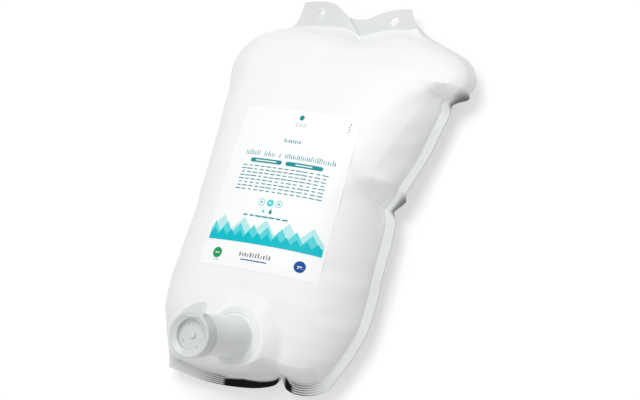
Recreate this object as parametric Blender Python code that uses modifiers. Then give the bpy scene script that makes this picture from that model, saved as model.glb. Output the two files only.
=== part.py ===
"""Filled liquid refill bag: a welded film pouch with two hanging ears, a moulded spout and its cap.

The bag lies on its back. +X is the label's right, +Y runs to the hanging ears, +Z is up out of
the front. The origin is the middle of the flat patch that the bag rests on.
"""
import math

import bpy
import bmesh
import numpy as np
from mathutils import Matrix, Vector

MM = 0.001

# Pouch: heights and seam sizes
SEAM_HEIGHT = 19.0 * MM
SEAM_THICKNESS = 1.3 * MM
SIDE_SEAM_WIDTH = 8.0 * MM
LEFT_SEAM_WIDTH = 3.2 * MM
TUCKED_SEAM_WIDTH = 2.2 * MM
TUCK_DROP = 5.0 * MM
SEAM_END_FADE = 0.10
SEAM_SMOOTHING = 10
FRONT_CREST = 49.0 * MM
FRONT_ROUNDNESS = 2.55
BACK_ROUNDNESS = 4.5
BACK_END_ROUNDNESS = 12
BACK_EDGE_POWER = 0.6
BACK_FLATTENING = 1.16

# Pouch: where the seam leaves its plane, each with its height, its start and its run-in
LEFT_SEAM_DROOP = 8.0 * MM
LEFT_DROOP_START = (-70.0 * MM, -60.0 * MM)
LEFT_DROOP_RUN = (34.0 * MM, 90.0 * MM)
SHOULDER_LIFT = 3.0 * MM
SHOULDER_START = (70.0 * MM, 84.0 * MM)
SHOULDER_RUN = (50.0 * MM, 12.0 * MM)
WELD_DROOP = 6.0 * MM
WELD_START = -138.0 * MM
WELD_RUN = 26.0 * MM
EAR_CURL = 2.5 * MM
EAR_START = 138.0 * MM
EAR_RUN = 30.0 * MM
EAR_WAVE = 17.0 * MM

# Pouch: the left ear lies in front of the right one's root, along a fold
EAR_FOLD = ((-7.0 * MM, 160.0 * MM), (17.0 * MM, 134.0 * MM))
EAR_FOLD_RISE = 1.5 * MM
EAR_FOLD_FALL = 1.9 * MM
EAR_FOLD_STEP = 1.6 * MM
EAR_FOLD_REACH = (15.0 * MM, 8.0 * MM)
EAR_FOLD_RUN_IN = 0.3
EAR_FOLD_RUN_OUT = 0.5
EAR_FOLD_START = 128.0 * MM
EAR_FOLD_RUN = 12.0 * MM

# Pouch: where the seam is tucked under the bulge, on the left side and round the shoulder
LEFT_TUCK_START = (-50.0 * MM, -30.0 * MM)
LEFT_TUCK_RUN = (8.0 * MM, 40.0 * MM)
SHOULDER_TUCK_START = (58.0 * MM, 94.0 * MM)
SHOULDER_TUCK_RUN = (8.0 * MM, 6.0 * MM)
LEFT_NARROWING = (-50.0 * MM, 40.0 * MM)
RIGHT_NARROWING = (90.0 * MM, 8.0 * MM)

# Pouch: mesh density
ROWS = 58
COLUMNS = 38
SEAM_LOOPS = 2

# Notches of the outline reach only a short way into the body, and climb as they leave the seam
NOTCH_SMOOTHING = 64
NOTCH_FADE = 7
NOTCH_CLIMB = 0.60

# Hanging holes in the two ears
HOLE_RADIUS = 3.5 * MM
HOLE_CENTRES = ((-31.0 * MM, 156.5 * MM), (38.0 * MM, 157.0 * MM))

# Outline, counted in millimetres: each side is a list of runs, and runs meet at true corners
LEFT_SIDE = [[(-86, -156), (-88, -144), (-95, -128), (-102, -108), (-104, -88), (-101, -62),
              (-99, -32), (-100, 0), (-103, 40), (-105, 80), (-108, 104), (-104, 119),
              (-91, 131), (-73, 139), (-56, 144)]]
RIGHT_SIDE = [[(66, -150), (75, -134), (84, -113), (88, -95), (88.5, -60), (88, -24), (87, -9),
               (82.5, -0.5)],
              [(82.5, -0.5), (91, 9), (96, 27), (101, 46), (106, 66), (109, 82), (110, 92)],
              [(110, 92), (120, 97.5), (126, 108), (124, 118), (114, 130), (98, 137.5),
               (82, 143.5), (68, 149.5), (60, 155)]]
TOP_SIDE = [[(-56, 144), (-52, 150), (-51, 166)],
            [(-51, 166), (-32, 167.5), (-19, 165.5), (-10, 160), (-1, 154.5), (13, 155),
             (28, 163.5), (41, 168), (50, 169)],
            [(50, 169), (53, 163), (60, 155)]]
BOTTOM_SIDE = [[(-86, -156), (-49, -161.5), (-10, -160.5), (14, -155), (22, -148)],
               [(22, -148), (27, -156), (40, -158.5), (54, -156), (66, -150)]]
INNER_TOP = [[(-58, 141), (-48, 142.5), (-28, 144), (-2, 145), (12, 140), (25, 144), (40, 148),
              (54, 149), (62, 152)]]
INNER_BOTTOM = [[(-75, -148.5), (-45, -153), (-8, -152.5), (12, -149), (22, -144.5),
                 (32, -148), (44, -148.5), (58, -143)]]

# Height of the front along the middle, as shares of the body's length and of the crest
CREST_PROFILE = ((0.0, 0.0), (0.003, 0.42), (0.008, 0.60), (0.016, 0.70), (0.04, 0.78),
                 (0.088, 0.87), (0.165, 0.965), (0.25, 1.0), (0.38, 0.985), (0.515, 0.92),
                 (0.665, 0.80), (0.80, 0.62), (0.89, 0.44), (0.94, 0.27), (0.975, 0.11),
                 (1.0, 0.0))

# Two buckles on the right: a facet opens from a tip towards a notch; with ridge, reach and opening
BUCKLES = (((113 * MM, 90 * MM), (98 * MM, 104 * MM), 5.0 * MM, 24 * MM, math.radians(38)),
           ((84 * MM, -2 * MM), (64 * MM, 18 * MM), 5.5 * MM, 24 * MM, math.radians(40)))
BUCKLE_EDGE = 1.2 * MM
BUCKLE_ONSET = 0.5
BUCKLE_LENGTH = 2.6
BUCKLE_HOLLOW = 1.2
BUCKLE_HOLLOW_REACH = 0.6
FOLD_FADE = 9.0 * MM

# Creases near the seams: start, end, depth and width; the first stands up, between the buckles
CREASES = (((70 * MM, 20 * MM), (100 * MM, 103 * MM), -2.2 * MM, 12.0 * MM),
           ((60 * MM, -60 * MM), (86 * MM, -62 * MM), 2.2 * MM, 5.0 * MM),
           ((70 * MM, -33 * MM), (88 * MM, -40 * MM), 1.4 * MM, 4.5 * MM),
           ((66 * MM, -94 * MM), (84 * MM, -101 * MM), 1.2 * MM, 4.5 * MM),
           ((20 * MM, -146 * MM), (10 * MM, -132 * MM), 1.6 * MM, 4.5 * MM),
           ((-84 * MM, -140 * MM), (-70 * MM, -118 * MM), 1.1 * MM, 4.5 * MM),
           ((14 * MM, 142 * MM), (2 * MM, 112 * MM), 1.3 * MM, 7.0 * MM),
           ((-60 * MM, 134 * MM), (-44 * MM, 112 * MM), 0.8 * MM, 6.0 * MM),
           ((64 * MM, 140 * MM), (50 * MM, 118 * MM), 0.9 * MM, 6.0 * MM))
CREASE_RUN_IN = 0.35
CREASE_TAPER = 0.50
CREASE_BANK = 0.45

# The lower end of each lobe over a notch turns under, along these lines of the outline
LOBE_ENDS = (((82.5 * MM, -0.5 * MM), (92 * MM, 11 * MM)), ((110 * MM, 92 * MM), (123 * MM, 101 * MM)))
LOBE_DROP = 1.5 * MM
LOBE_WIDTH = 3.5 * MM
LOBE_RUN_IN = 0.25
LOBE_RUN_OUT = 0.30

# Spout: a weld flange with a straight tube, leaning towards the bottom weld
SPOUT_PLACE = (-2.0 * MM, -128.5 * MM)
SPOUT_RISE = 44.0 * MM
SPOUT_LEAN = math.radians(13.6)
FLANGE_RADIUS = 24.0 * MM
FLANGE_THICKNESS = 1.6 * MM
FLANGE_RIB_HEIGHT = 0.5 * MM
FLANGE_RIB_PITCH = 1.5 * MM
FLANGE_RIBS = 3
FLANGE_EDGE = 0.5 * MM
FLANGE_RIM = 1.2 * MM
TUBE_RADIUS = 16.2 * MM
TUBE_WALL = 2.0 * MM
TUBE_CHAMFER = 0.6 * MM
TUBE_LENGTH = 64.2 * MM
FLARE_RADIUS = 3.0 * MM
COLLAR_HEIGHT = 1.6 * MM
COLLAR_OUT = 1.0 * MM
LAND_MARGIN = 2.0 * MM
LAND_BLEND = 13.0 * MM
SEAT_GAP = 0.3 * MM

# Outlet valve: a soft disc in the foot of the tube
VALVE_RIM_HEIGHT = 4.0 * MM
VALVE_RIM_WIDTH = 2.6 * MM
VALVE_MEMBRANE = 1.4 * MM
VALVE_DOME = 1.6 * MM

# Cap: a push-on cap with a sunk face
CAP_CLEARANCE = 0.3 * MM
CAP_WALL = 1.6 * MM
CAP_SKIRT = 9.2 * MM
CAP_TOP = 3.6 * MM
CAP_RIM = 1.6 * MM
CAP_EDGE_RADIUS = 1.0 * MM
CAP_PLUG_DEPTH = 4.0 * MM
CAP_PLUG_WALL = 1.5 * MM
CAP_DISH_CHAMFER = 0.8 * MM
CAP_BOSS_RADIUS = 3.0 * MM
CAP_BOSS_HEIGHT = 1.6 * MM
NUB_RADIUS = 0.9 * MM
NUB_HEIGHT = 1.0 * MM
NUB_RING_RADIUS = 9.6 * MM
NUB_COUNT = 4
NUB_FIRST = 0.35
NUB_TAPER = 0.55
NUB_SIDES = 12
TAB_WIDTH = 21.0 * MM
TAB_TIP_WIDTH = 8.0 * MM
TAB_REACH = 8.0 * MM
TAB_DROP = 4.0 * MM
TAB_THICKNESS = 1.5 * MM
TAB_SINK = 0.15 * MM
TAB_STEPS = 10
TAB_BEND = 1.8
TAB_TAPER = 1.6
TAB_TIP_ROUNDNESS = 10
TAB_TIP_LEAST = 0.10

# Label
LABEL_WIDTH = 107.0 * MM
LABEL_TOP = 61.0 * MM
LABEL_BOTTOM = -76.0 * MM
LABEL_CENTRE_X = 1.0 * MM
LABEL_THICKNESS = 0.3 * MM
LABEL_GAP = 0.45 * MM
LABEL_CELL = 7.5 * MM

TURN_STEPS = 40
SHARP_ANGLE = math.radians(60)


def clear_scene():
    """Remove every object that the scene holds."""
    for old in list(bpy.data.objects):
        bpy.data.objects.remove(old, do_unlink=True)


def new_collection(name):
    """Make a collection in the scene.

    Args:
        name: the collection's name.

    Returns:
        The new collection.
    """
    collection = bpy.data.collections.new(name)
    bpy.context.scene.collection.children.link(collection)
    return collection


def new_material(name, colour, roughness, metallic=0.0, alpha=1.0):
    """Make a Principled material.

    Args:
        name: the material's name.
        colour: linear red, green and blue.
        roughness: 0 to 1.
        metallic: 0 to 1.
        alpha: 1 is opaque.

    Returns:
        The material.
    """
    material = bpy.data.materials.new(name)
    material.use_nodes = True
    shader = material.node_tree.nodes["Principled BSDF"]
    shader.inputs["Base Color"].default_value = (*colour, 1.0)
    shader.inputs["Roughness"].default_value = roughness
    shader.inputs["Metallic"].default_value = metallic
    shader.inputs["Alpha"].default_value = alpha
    return material


def add_object(name, mesh, collection, material=None):
    """Put a mesh in the scene as an object."""
    obj = bpy.data.objects.new(name, mesh)
    collection.objects.link(obj)
    if material:
        mesh.materials.append(material)
    return obj


def cut(obj, cutter, operation="DIFFERENCE"):
    """Give an object an exact Boolean with a cutter, which is hidden from renders."""
    cutter.hide_render = True
    cutter.display_type = "WIRE"
    boolean = obj.modifiers.new(cutter.name, "BOOLEAN")
    boolean.operation = operation
    boolean.object = cutter
    boolean.solver = "EXACT"


def smooth_run(points, samples=24):
    """Draw a smooth curve through a run of points.

    Args:
        points: two or more (x, y) pairs in millimetres.
        samples: points made for each span.

    Returns:
        An array of points in metres.
    """
    knots = np.array(points, dtype=float) * MM
    first = 2 * knots[0] - knots[1]
    last = 2 * knots[-1] - knots[-2]
    knots = np.vstack([first, knots, last])
    drawn = []
    for before, start, end, after in zip(knots, knots[1:], knots[2:], knots[3:]):
        span = np.linalg.norm(end - start)
        lean_in = (end - before) * span / (np.linalg.norm(end - start) + np.linalg.norm(start - before))
        lean_out = (after - start) * span / (np.linalg.norm(end - start) + np.linalg.norm(after - end))
        for step in range(samples):
            t = step / samples
            drawn.append((2 * t**3 - 3 * t**2 + 1) * start + (t**3 - 2 * t**2 + t) * lean_in
                         + (3 * t**2 - 2 * t**3) * end + (t**3 - t**2) * lean_out)
    drawn.append(knots[-2])
    return np.array(drawn)


def side_curve(runs):
    """Join the smooth runs of one side, keeping the corners between them."""
    return np.vstack([smooth_run(run) for run in runs])


def at_shares(curve, shares):
    """Read points off a curve at shares of its length, 0 to 1."""
    steps = np.linalg.norm(np.diff(curve, axis=0), axis=1)
    length = np.concatenate([[0.0], np.cumsum(steps)])
    want = np.asarray(shares) * length[-1]
    return np.stack([np.interp(want, length, curve[:, axis]) for axis in (0, 1)], axis=1)


def eased(count, ease):
    """Give shares from 0 to 1 that crowd towards both ends.

    Args:
        count: the number of steps.
        ease: 0 for even steps, 1 for a full cosine.

    Returns:
        An array of count + 1 shares.
    """
    even = np.linspace(0.0, 1.0, count + 1)
    return (1 - ease) * even + ease * (0.5 - 0.5 * np.cos(math.pi * even))


def inset_side(curve, width, start, end):
    """Offset a side inwards by the seam's width, blended to the inner corners.

    Args:
        curve: the side's outer points, read from the bottom up.
        width: the seam's width at each point; positive moves to the right of the run.
        start: the inner corner at the bottom.
        end: the inner corner at the top.

    Returns:
        The inner points, as many as the outer ones.
    """
    tangent = np.gradient(curve, axis=0)
    for _ in range(SEAM_SMOOTHING):
        tangent[1:-1] = (tangent[:-2] + 2 * tangent[1:-1] + tangent[2:]) / 4
    tangent /= np.linalg.norm(tangent, axis=1)[:, None]
    normal = np.stack([tangent[:, 1], -tangent[:, 0]], axis=1)
    inner = curve + normal * width[:, None]
    share = np.linspace(0.0, 1.0, len(curve))[:, None]
    low = np.clip(1 - share / SEAM_END_FADE, 0, 1) ** 2
    high = np.clip(1 - (1 - share) / SEAM_END_FADE, 0, 1) ** 2
    inner += low * (np.array(start) * MM - inner[0]) + high * (np.array(end) * MM - inner[-1])
    return inner


def broad_shape(side):
    """Smooth a side so that its small notches are left out, with its ends kept."""
    broad = side.copy()
    for _ in range(NOTCH_SMOOTHING):
        broad[1:-1] = (broad[:-2] + 2 * broad[1:-1] + broad[2:]) / 4
    return broad


def coons_patch(left, right, bottom, top, across, along):
    """Fill four sides with a grid.

    Args:
        left: points of the left side, bottom to top.
        right: points of the right side, bottom to top.
        bottom: points of the bottom side, left to right.
        top: points of the top side, left to right.
        across: shares from left to right.
        along: shares from bottom to top.

    Returns:
        An array of points, rows by columns by 2.
    """
    u = across[None, :, None]
    v = along[:, None, None]
    corners = ((1 - u) * (1 - v) * bottom[0] + u * (1 - v) * bottom[-1]
               + (1 - u) * v * top[0] + u * v * top[-1])
    broad = [broad_shape(side) for side in (left, right, bottom, top)]
    grid = ((1 - u) * broad[0][:, None] + u * broad[1][:, None]
            + (1 - v) * broad[2][None] + v * broad[3][None] - corners)
    grid += (1 - u) ** NOTCH_FADE * (left - broad[0])[:, None]
    climb = np.clip(along[:, None] - NOTCH_CLIMB * (1 - across[None, :]), 0, 1)
    dent = np.stack([np.interp(climb, along, (right - broad[1])[:, axis]) for axis in (0, 1)], -1)
    grid += u ** NOTCH_FADE * dent
    grid += (1 - v) ** NOTCH_FADE * (bottom - broad[2])[None]
    grid += v ** NOTCH_FADE * (top - broad[3])[None]
    return grid


def smooth_step(value):
    """Ease from 0 to 1 as the value goes from 0 to 1."""
    t = np.clip(value, 0.0, 1.0)
    return t * t * (3 - 2 * t)


def corner_share(x, y, start, run, side):
    """Ease from 0 to 1 beyond a corner line in x and in y.

    Args:
        x: grid of x places.
        y: grid of y places.
        start: where the easing starts, in x and in y.
        run: how far it runs, in x and in y.
        side: 1 grows to the right, -1 to the left.
    """
    return smooth_step(side * (x - start[0]) / run[0]) * smooth_step((y - start[1]) / run[1])


def line_places(x, y, start, end):
    """Measure places against a line.

    Args:
        x: grid of x places.
        y: grid of y places.
        start: the line's start.
        end: the line's end.

    Returns:
        How far along the line each place lies, as a share, and how far to its left, in metres.
    """
    run = np.array(end) - np.array(start)
    length = np.linalg.norm(run)
    run = run / length
    along = ((x - start[0]) * run[0] + (y - start[1]) * run[1]) / length
    left = -(x - start[0]) * run[1] + (y - start[1]) * run[0]
    return along, left


def ear_fold(x, y):
    """Height of the fold between the ears."""
    along, left = line_places(x, y, *EAR_FOLD)
    strength = (smooth_step((along + EAR_FOLD_RUN_IN) / EAR_FOLD_RUN_IN)
                * smooth_step((1 + EAR_FOLD_RUN_OUT / 2 - along) / EAR_FOLD_RUN_OUT))
    front = smooth_step(0.5 + left / EAR_FOLD_STEP) * np.exp(-np.abs(left) / EAR_FOLD_REACH[0])
    behind = smooth_step(0.5 - left / EAR_FOLD_STEP) * np.exp(-np.abs(left) / EAR_FOLD_REACH[1])
    fade = smooth_step((y - EAR_FOLD_START) / EAR_FOLD_RUN)
    return fade * strength * (EAR_FOLD_RISE * front - EAR_FOLD_FALL * behind)


def crease_lift(x, y):
    """Height of the creases near the seams: a valley with a low bank on one side."""
    lift = np.zeros_like(x)
    for start, end, depth, width in CREASES:
        along, left = line_places(x, y, start, end)
        taper = (smooth_step((along + CREASE_RUN_IN) / CREASE_TAPER)
                 * smooth_step((1 + CREASE_RUN_IN - along) / CREASE_TAPER))
        bank = CREASE_BANK * np.exp(-((left / width + 2) ** 2))
        lift += depth * taper * (bank - np.exp(-np.abs(left) / width))
    return lift


def lobe_curl(x, y):
    """Share by which the film turns under at the lower end of each lobe."""
    curl = np.zeros_like(x)
    for start, end in LOBE_ENDS:
        along, inward = line_places(x, y, start, end)
        window = (smooth_step((along + LOBE_RUN_IN) / LOBE_RUN_IN)
                  * smooth_step((1 + LOBE_RUN_OUT / 2 - along) / LOBE_RUN_OUT))
        curl = np.maximum(curl, window * smooth_step(1 - inward / LOBE_WIDTH))
    return curl


def seam_lift(x, y):
    """Height of the seam surface over its plane: drooping edges, curling ears and buckles."""
    left = corner_share(x, y, LEFT_DROOP_START, LEFT_DROOP_RUN, -1)
    shoulder = corner_share(x, y, SHOULDER_START, SHOULDER_RUN, 1)
    weld = smooth_step((WELD_START - y) / WELD_RUN)
    ears = smooth_step((y - EAR_START) / EAR_RUN)
    lift = -LEFT_SEAM_DROOP * left + SHOULDER_LIFT * shoulder - WELD_DROOP * weld
    lift += EAR_CURL * ears * np.cos(x / EAR_WAVE)
    ridge, _ = buckle_heights(x, y)
    curl = lobe_curl(x, y)
    return lift + ridge * (1 - curl) - LOBE_DROP * curl + ear_fold(x, y)


def tuck_share(x, y):
    """Share by which the seam is tucked under the bulge, on the left side and round the shoulder."""
    left = corner_share(x, y, LEFT_TUCK_START, LEFT_TUCK_RUN, -1)
    shoulder = corner_share(x, y, SHOULDER_TUCK_START, SHOULDER_TUCK_RUN, 1)
    return np.maximum(left, shoulder)


def buckle_heights(x, y):
    """Heights of the buckles' ridges and depths of their hollows, with a flat facet in between."""
    ridge = np.zeros_like(x)
    hollow = np.zeros_like(x)
    for notch, tip, height, reach, opening in BUCKLES:
        run = np.array(notch) - np.array(tip)
        length = np.linalg.norm(run)
        run = run / length
        ahead = (x - tip[0]) * run[0] + (y - tip[1]) * run[1]
        side = -(x - tip[0]) * run[1] + (y - tip[1]) * run[0]
        width = np.maximum(ahead, 0.0) * math.tan(opening) + BUCKLE_EDGE
        ramp = smooth_step(side / width)
        strength = (height * smooth_step(ahead / (BUCKLE_ONSET * length))
                    * smooth_step(BUCKLE_LENGTH - ahead / length))
        ridge += strength * ramp * np.exp(-np.maximum(side - width, 0.0) / reach)
        below = np.exp(-np.maximum(-side, 0.0) / (reach * BUCKLE_HOLLOW_REACH))
        hollow += BUCKLE_HOLLOW * strength * (1 - ramp) * below
    return ridge, hollow


def spout_foot():
    """Give the middle of the flange's underside."""
    return Vector((SPOUT_PLACE[0], SPOUT_PLACE[1], SEAM_HEIGHT + SPOUT_RISE))


def spout_axis():
    """Give the direction in which the tube points."""
    return Vector((0.0, -math.sin(SPOUT_LEAN), math.cos(SPOUT_LEAN)))


def flatten_to_land(x, y, z):
    """Ease the front into the flat land that the spout's flange sits on."""
    axis = spout_axis()
    foot = spout_foot() - axis * SEAT_GAP
    plane = foot.z - ((x - foot.x) * axis.x + (y - foot.y) * axis.y) / axis.z
    away = np.hypot(x - foot.x, (y - foot.y) / axis.z)
    blend = 1 - smooth_step((away - FLANGE_RADIUS - LAND_MARGIN) / LAND_BLEND)
    return z + (plane - z) * blend


def body_heights(x, y, across, along):
    """Front and back heights of the filled body.

    Args:
        x: grid of x places.
        y: grid of y places.
        across: shares from the left to the right inner edge.
        along: shares from the bottom to the top inner edge.

    Returns:
        Two grids of heights, front and back.
    """
    u = (2 * across - 1)[None, :]
    w = along[:, None]
    table = np.array(CREST_PROFILE)
    crest = FRONT_CREST * np.interp(w, table[:, 0], table[:, 1])
    rise = crest * (1 - np.abs(u) ** FRONT_ROUNDNESS) ** 0.5
    seam = SEAM_HEIGHT + seam_lift(x, y)
    _, hollow = buckle_heights(x, y)
    folds = crease_lift(x, y) - hollow
    front = seam + SEAM_THICKNESS / 2 + rise + folds * np.minimum(1.0, rise / FOLD_FADE)
    round_side = (1 - np.abs(u) ** BACK_ROUNDNESS) ** BACK_EDGE_POWER
    round_end = (1 - np.abs(2 * w - 1) ** BACK_END_ROUNDNESS) ** BACK_EDGE_POWER
    sink = BACK_FLATTENING * round_side * round_end
    back = (seam - SEAM_THICKNESS / 2) * (1 - np.clip(sink, 0, 1))
    edge = (np.abs(u) >= 1) | (w <= 0) | (w >= 1)
    front = np.where(edge, seam + SEAM_THICKNESS / 2, flatten_to_land(x, y, front))
    return front, back


def pouch_outline():
    """Work out the matched outer and inner sides of the pouch.

    Returns:
        The shares across and along, the four outer sides and the four inner sides.
    """
    across = eased(COLUMNS, 0.75)
    along = eased(ROWS, 0.70)
    outer_left = at_shares(side_curve(LEFT_SIDE), along)
    outer_right = at_shares(side_curve(RIGHT_SIDE), along)
    outer_top = at_shares(side_curve(TOP_SIDE), across)
    outer_bottom = at_shares(side_curve(BOTTOM_SIDE), across)
    narrowing = smooth_step((outer_left[:, 1] - LEFT_NARROWING[0]) / LEFT_NARROWING[1])
    left_width = LEFT_SEAM_WIDTH + (TUCKED_SEAM_WIDTH - LEFT_SEAM_WIDTH) * narrowing
    narrowing = smooth_step((outer_right[:, 1] - RIGHT_NARROWING[0]) / RIGHT_NARROWING[1])
    right_width = SIDE_SEAM_WIDTH + (TUCKED_SEAM_WIDTH - SIDE_SEAM_WIDTH) * narrowing
    inner_left = inset_side(outer_left, left_width, INNER_BOTTOM[0][0], INNER_TOP[0][0])
    inner_right = inset_side(outer_right, -right_width, INNER_BOTTOM[0][-1], INNER_TOP[0][-1])
    inner_top = at_shares(side_curve(INNER_TOP), across)
    inner_bottom = at_shares(side_curve(INNER_BOTTOM), across)
    outer = (outer_left, outer_right, outer_bottom, outer_top)
    inner = (inner_left, inner_right, inner_bottom, inner_top)
    return across, along, outer, inner


def ring_of(sides):
    """Walk round the four sides as one closed loop, bottom, right, top and left."""
    left, right, bottom, top = sides
    return np.vstack([bottom[:-1], right[:-1], top[::-1][:-1], left[::-1][:-1]])


def build_pouch(collection, cutters):
    """Model the filled pouch: front and back films with their welded seam, as one sealed solid."""
    across, along, outer, inner = pouch_outline()
    left, right, bottom, top = inner
    grid = coons_patch(left, right, bottom, top, across, along)
    x, y = grid[..., 0], grid[..., 1]
    front, back = body_heights(x, y, across, along)
    mesh = bmesh.new()
    rows, columns = x.shape
    front_grid = [[mesh.verts.new((x[j, i], y[j, i], front[j, i])) for i in range(columns)]
                  for j in range(rows)]
    back_grid = [[mesh.verts.new((x[j, i], y[j, i], back[j, i])) for i in range(columns)]
                 for j in range(rows)]
    for j in range(rows - 1):
        for i in range(columns - 1):
            a, b = front_grid[j][i], front_grid[j][i + 1]
            c, d = front_grid[j + 1][i + 1], front_grid[j + 1][i]
            mesh.faces.new((a, b, c, d))
            a, b = back_grid[j][i], back_grid[j][i + 1]
            c, d = back_grid[j + 1][i + 1], back_grid[j + 1][i]
            mesh.faces.new((d, c, b, a))
    border = ([(0, i) for i in range(columns - 1)]
              + [(j, columns - 1) for j in range(rows - 1)]
              + [(rows - 1, i) for i in range(columns - 1, 0, -1)]
              + [(j, 0) for j in range(rows - 1, 0, -1)])
    inner_ring, outer_ring = ring_of(inner), ring_of(outer)
    tuck = tuck_share(outer_ring[:, 0], outer_ring[:, 1])
    front_loops = [[front_grid[j][i] for j, i in border]]
    back_loops = [[back_grid[j][i] for j, i in border]]
    for loop in range(1, SEAM_LOOPS + 1):
        share = loop / SEAM_LOOPS
        places = inner_ring + (outer_ring - inner_ring) * share
        seam = SEAM_HEIGHT + seam_lift(places[:, 0], places[:, 1]) - TUCK_DROP * tuck * share
        for loops, side in ((front_loops, 0.5), (back_loops, -0.5)):
            loops.append([mesh.verts.new((p[0], p[1], z + side * SEAM_THICKNESS))
                          for p, z in zip(places, seam)])
    count = len(border)
    for inside, outside in zip(front_loops, front_loops[1:]):
        for k in range(count):
            n = (k + 1) % count
            mesh.faces.new((inside[n], inside[k], outside[k], outside[n]))
    for inside, outside in zip(back_loops, back_loops[1:]):
        for k in range(count):
            n = (k + 1) % count
            mesh.faces.new((inside[k], inside[n], outside[n], outside[k]))
    for k in range(count):
        n = (k + 1) % count
        mesh.faces.new((front_loops[-1][n], front_loops[-1][k], back_loops[-1][k], back_loops[-1][n]))
    bmesh.ops.recalc_face_normals(mesh, faces=mesh.faces)
    data = bpy.data.meshes.new("pouch")
    mesh.to_mesh(data)
    mesh.free()
    data.shade_smooth()
    data.set_sharp_from_angle(angle=SHARP_ANGLE)
    film = new_material("white film", (0.86, 0.87, 0.87), 0.32)
    pouch = add_object("pouch", data, collection, film)
    for number, (hole_x, hole_y) in enumerate(HOLE_CENTRES):
        bpy.ops.mesh.primitive_cylinder_add(vertices=24, radius=HOLE_RADIUS, depth=SEAM_HEIGHT,
                                            location=(hole_x, hole_y, SEAM_HEIGHT))
        punch = bpy.context.object
        punch.name = f"hole_punch_{number + 1}"
        move_to(punch, cutters)
        cut(pouch, punch)
    return pouch


def move_to(obj, collection):
    """Move an object into a collection."""
    for holder in list(obj.users_collection):
        holder.objects.unlink(obj)
    collection.objects.link(obj)


def turned_mesh(name, profile, closed=True):
    """Make the mesh line that a Screw modifier turns.

    Args:
        name: the mesh's name.
        profile: (radius, height) pairs in metres, down the outer side first.
        closed: whether the last point joins the first.

    Returns:
        The mesh.
    """
    mesh = bmesh.new()
    verts = [mesh.verts.new((radius, 0.0, height)) for radius, height in profile]
    for start, end in zip(verts, verts[1:]):
        mesh.edges.new((start, end))
    if closed:
        mesh.edges.new((verts[-1], verts[0]))
    data = bpy.data.meshes.new(name)
    mesh.to_mesh(data)
    mesh.free()
    return data


def turn(obj):
    """Turn an object's profile round its own Z axis."""
    screw = obj.modifiers.new("turn", "SCREW")
    screw.axis = "Z"
    screw.steps = TURN_STEPS
    screw.render_steps = TURN_STEPS
    screw.use_merge_vertices = True
    screw.merge_threshold = 0.00001
    screw.use_smooth_shade = True


def arc(centre_r, centre_h, radius, start, end, steps=5):
    """Give points of an arc in a turned profile, angles in degrees from outwards to up."""
    angles = [math.radians(start + (end - start) * k / steps) for k in range(steps + 1)]
    return [(centre_r + radius * math.cos(a), centre_h + radius * math.sin(a)) for a in angles]


def flange_top_points():
    """Give the flange's upper side from the flare outwards, with its concentric weld ribs."""
    points = []
    rib_start = FLANGE_RADIUS - FLANGE_RIM - FLANGE_RIBS * FLANGE_RIB_PITCH
    for rib in range(FLANGE_RIBS):
        low = rib_start + rib * FLANGE_RIB_PITCH
        points.append((low, FLANGE_THICKNESS))
        points.append((low + 0.3 * FLANGE_RIB_PITCH, FLANGE_THICKNESS + FLANGE_RIB_HEIGHT))
        points.append((low + 0.6 * FLANGE_RIB_PITCH, FLANGE_THICKNESS))
    points.append((FLANGE_RADIUS - FLANGE_EDGE, FLANGE_THICKNESS))
    points.append((FLANGE_RADIUS, FLANGE_THICKNESS - FLANGE_EDGE))
    points.append((FLANGE_RADIUS, 0.0))
    return points


def cap_base():
    """Height at which the cap's skirt ends, over the flange."""
    return TUBE_LENGTH + SEAT_GAP - CAP_SKIRT


def build_spout(collection, frame):
    """Model the moulded spout: a flange, a flare and a straight open tube with a collar."""
    bore = TUBE_RADIUS - TUBE_WALL
    collar = cap_base() - SEAT_GAP
    profile = [(TUBE_RADIUS - TUBE_CHAMFER, TUBE_LENGTH), (TUBE_RADIUS, TUBE_LENGTH - TUBE_CHAMFER),
               (TUBE_RADIUS, collar), (TUBE_RADIUS + COLLAR_OUT, collar),
               (TUBE_RADIUS + COLLAR_OUT, collar - COLLAR_HEIGHT), (TUBE_RADIUS, collar - COLLAR_HEIGHT)]
    profile += arc(TUBE_RADIUS + FLARE_RADIUS, FLANGE_THICKNESS + FLARE_RADIUS, FLARE_RADIUS, 180, 270)[:-1]
    profile += flange_top_points()
    profile += [(bore, 0.0), (bore, TUBE_LENGTH)]
    plastic = new_material("natural plastic", (0.80, 0.82, 0.82), 0.28)
    spout = add_object("spout", turned_mesh("spout", profile), collection, plastic)
    turn(spout)
    spout.parent = frame
    return spout


def build_valve(collection, frame):
    """Model the soft outlet valve: a rim with a thin domed membrane."""
    outer = TUBE_RADIUS - TUBE_WALL - SEAT_GAP
    inner = outer - VALVE_RIM_WIDTH
    steps = 6
    profile = [(outer, VALVE_RIM_HEIGHT), (outer, 0.0), (0.0, 0.0)]
    dome = [(inner * k / steps, VALVE_MEMBRANE + VALVE_DOME * math.cos(0.5 * math.pi * k / steps))
            for k in range(steps + 1)]
    profile += dome + [(inner, VALVE_RIM_HEIGHT)]
    silicone = new_material("valve silicone", (0.72, 0.73, 0.72), 0.5)
    valve = add_object("outlet_valve", turned_mesh("outlet_valve", profile), collection, silicone)
    turn(valve)
    valve.parent = frame
    return valve


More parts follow.
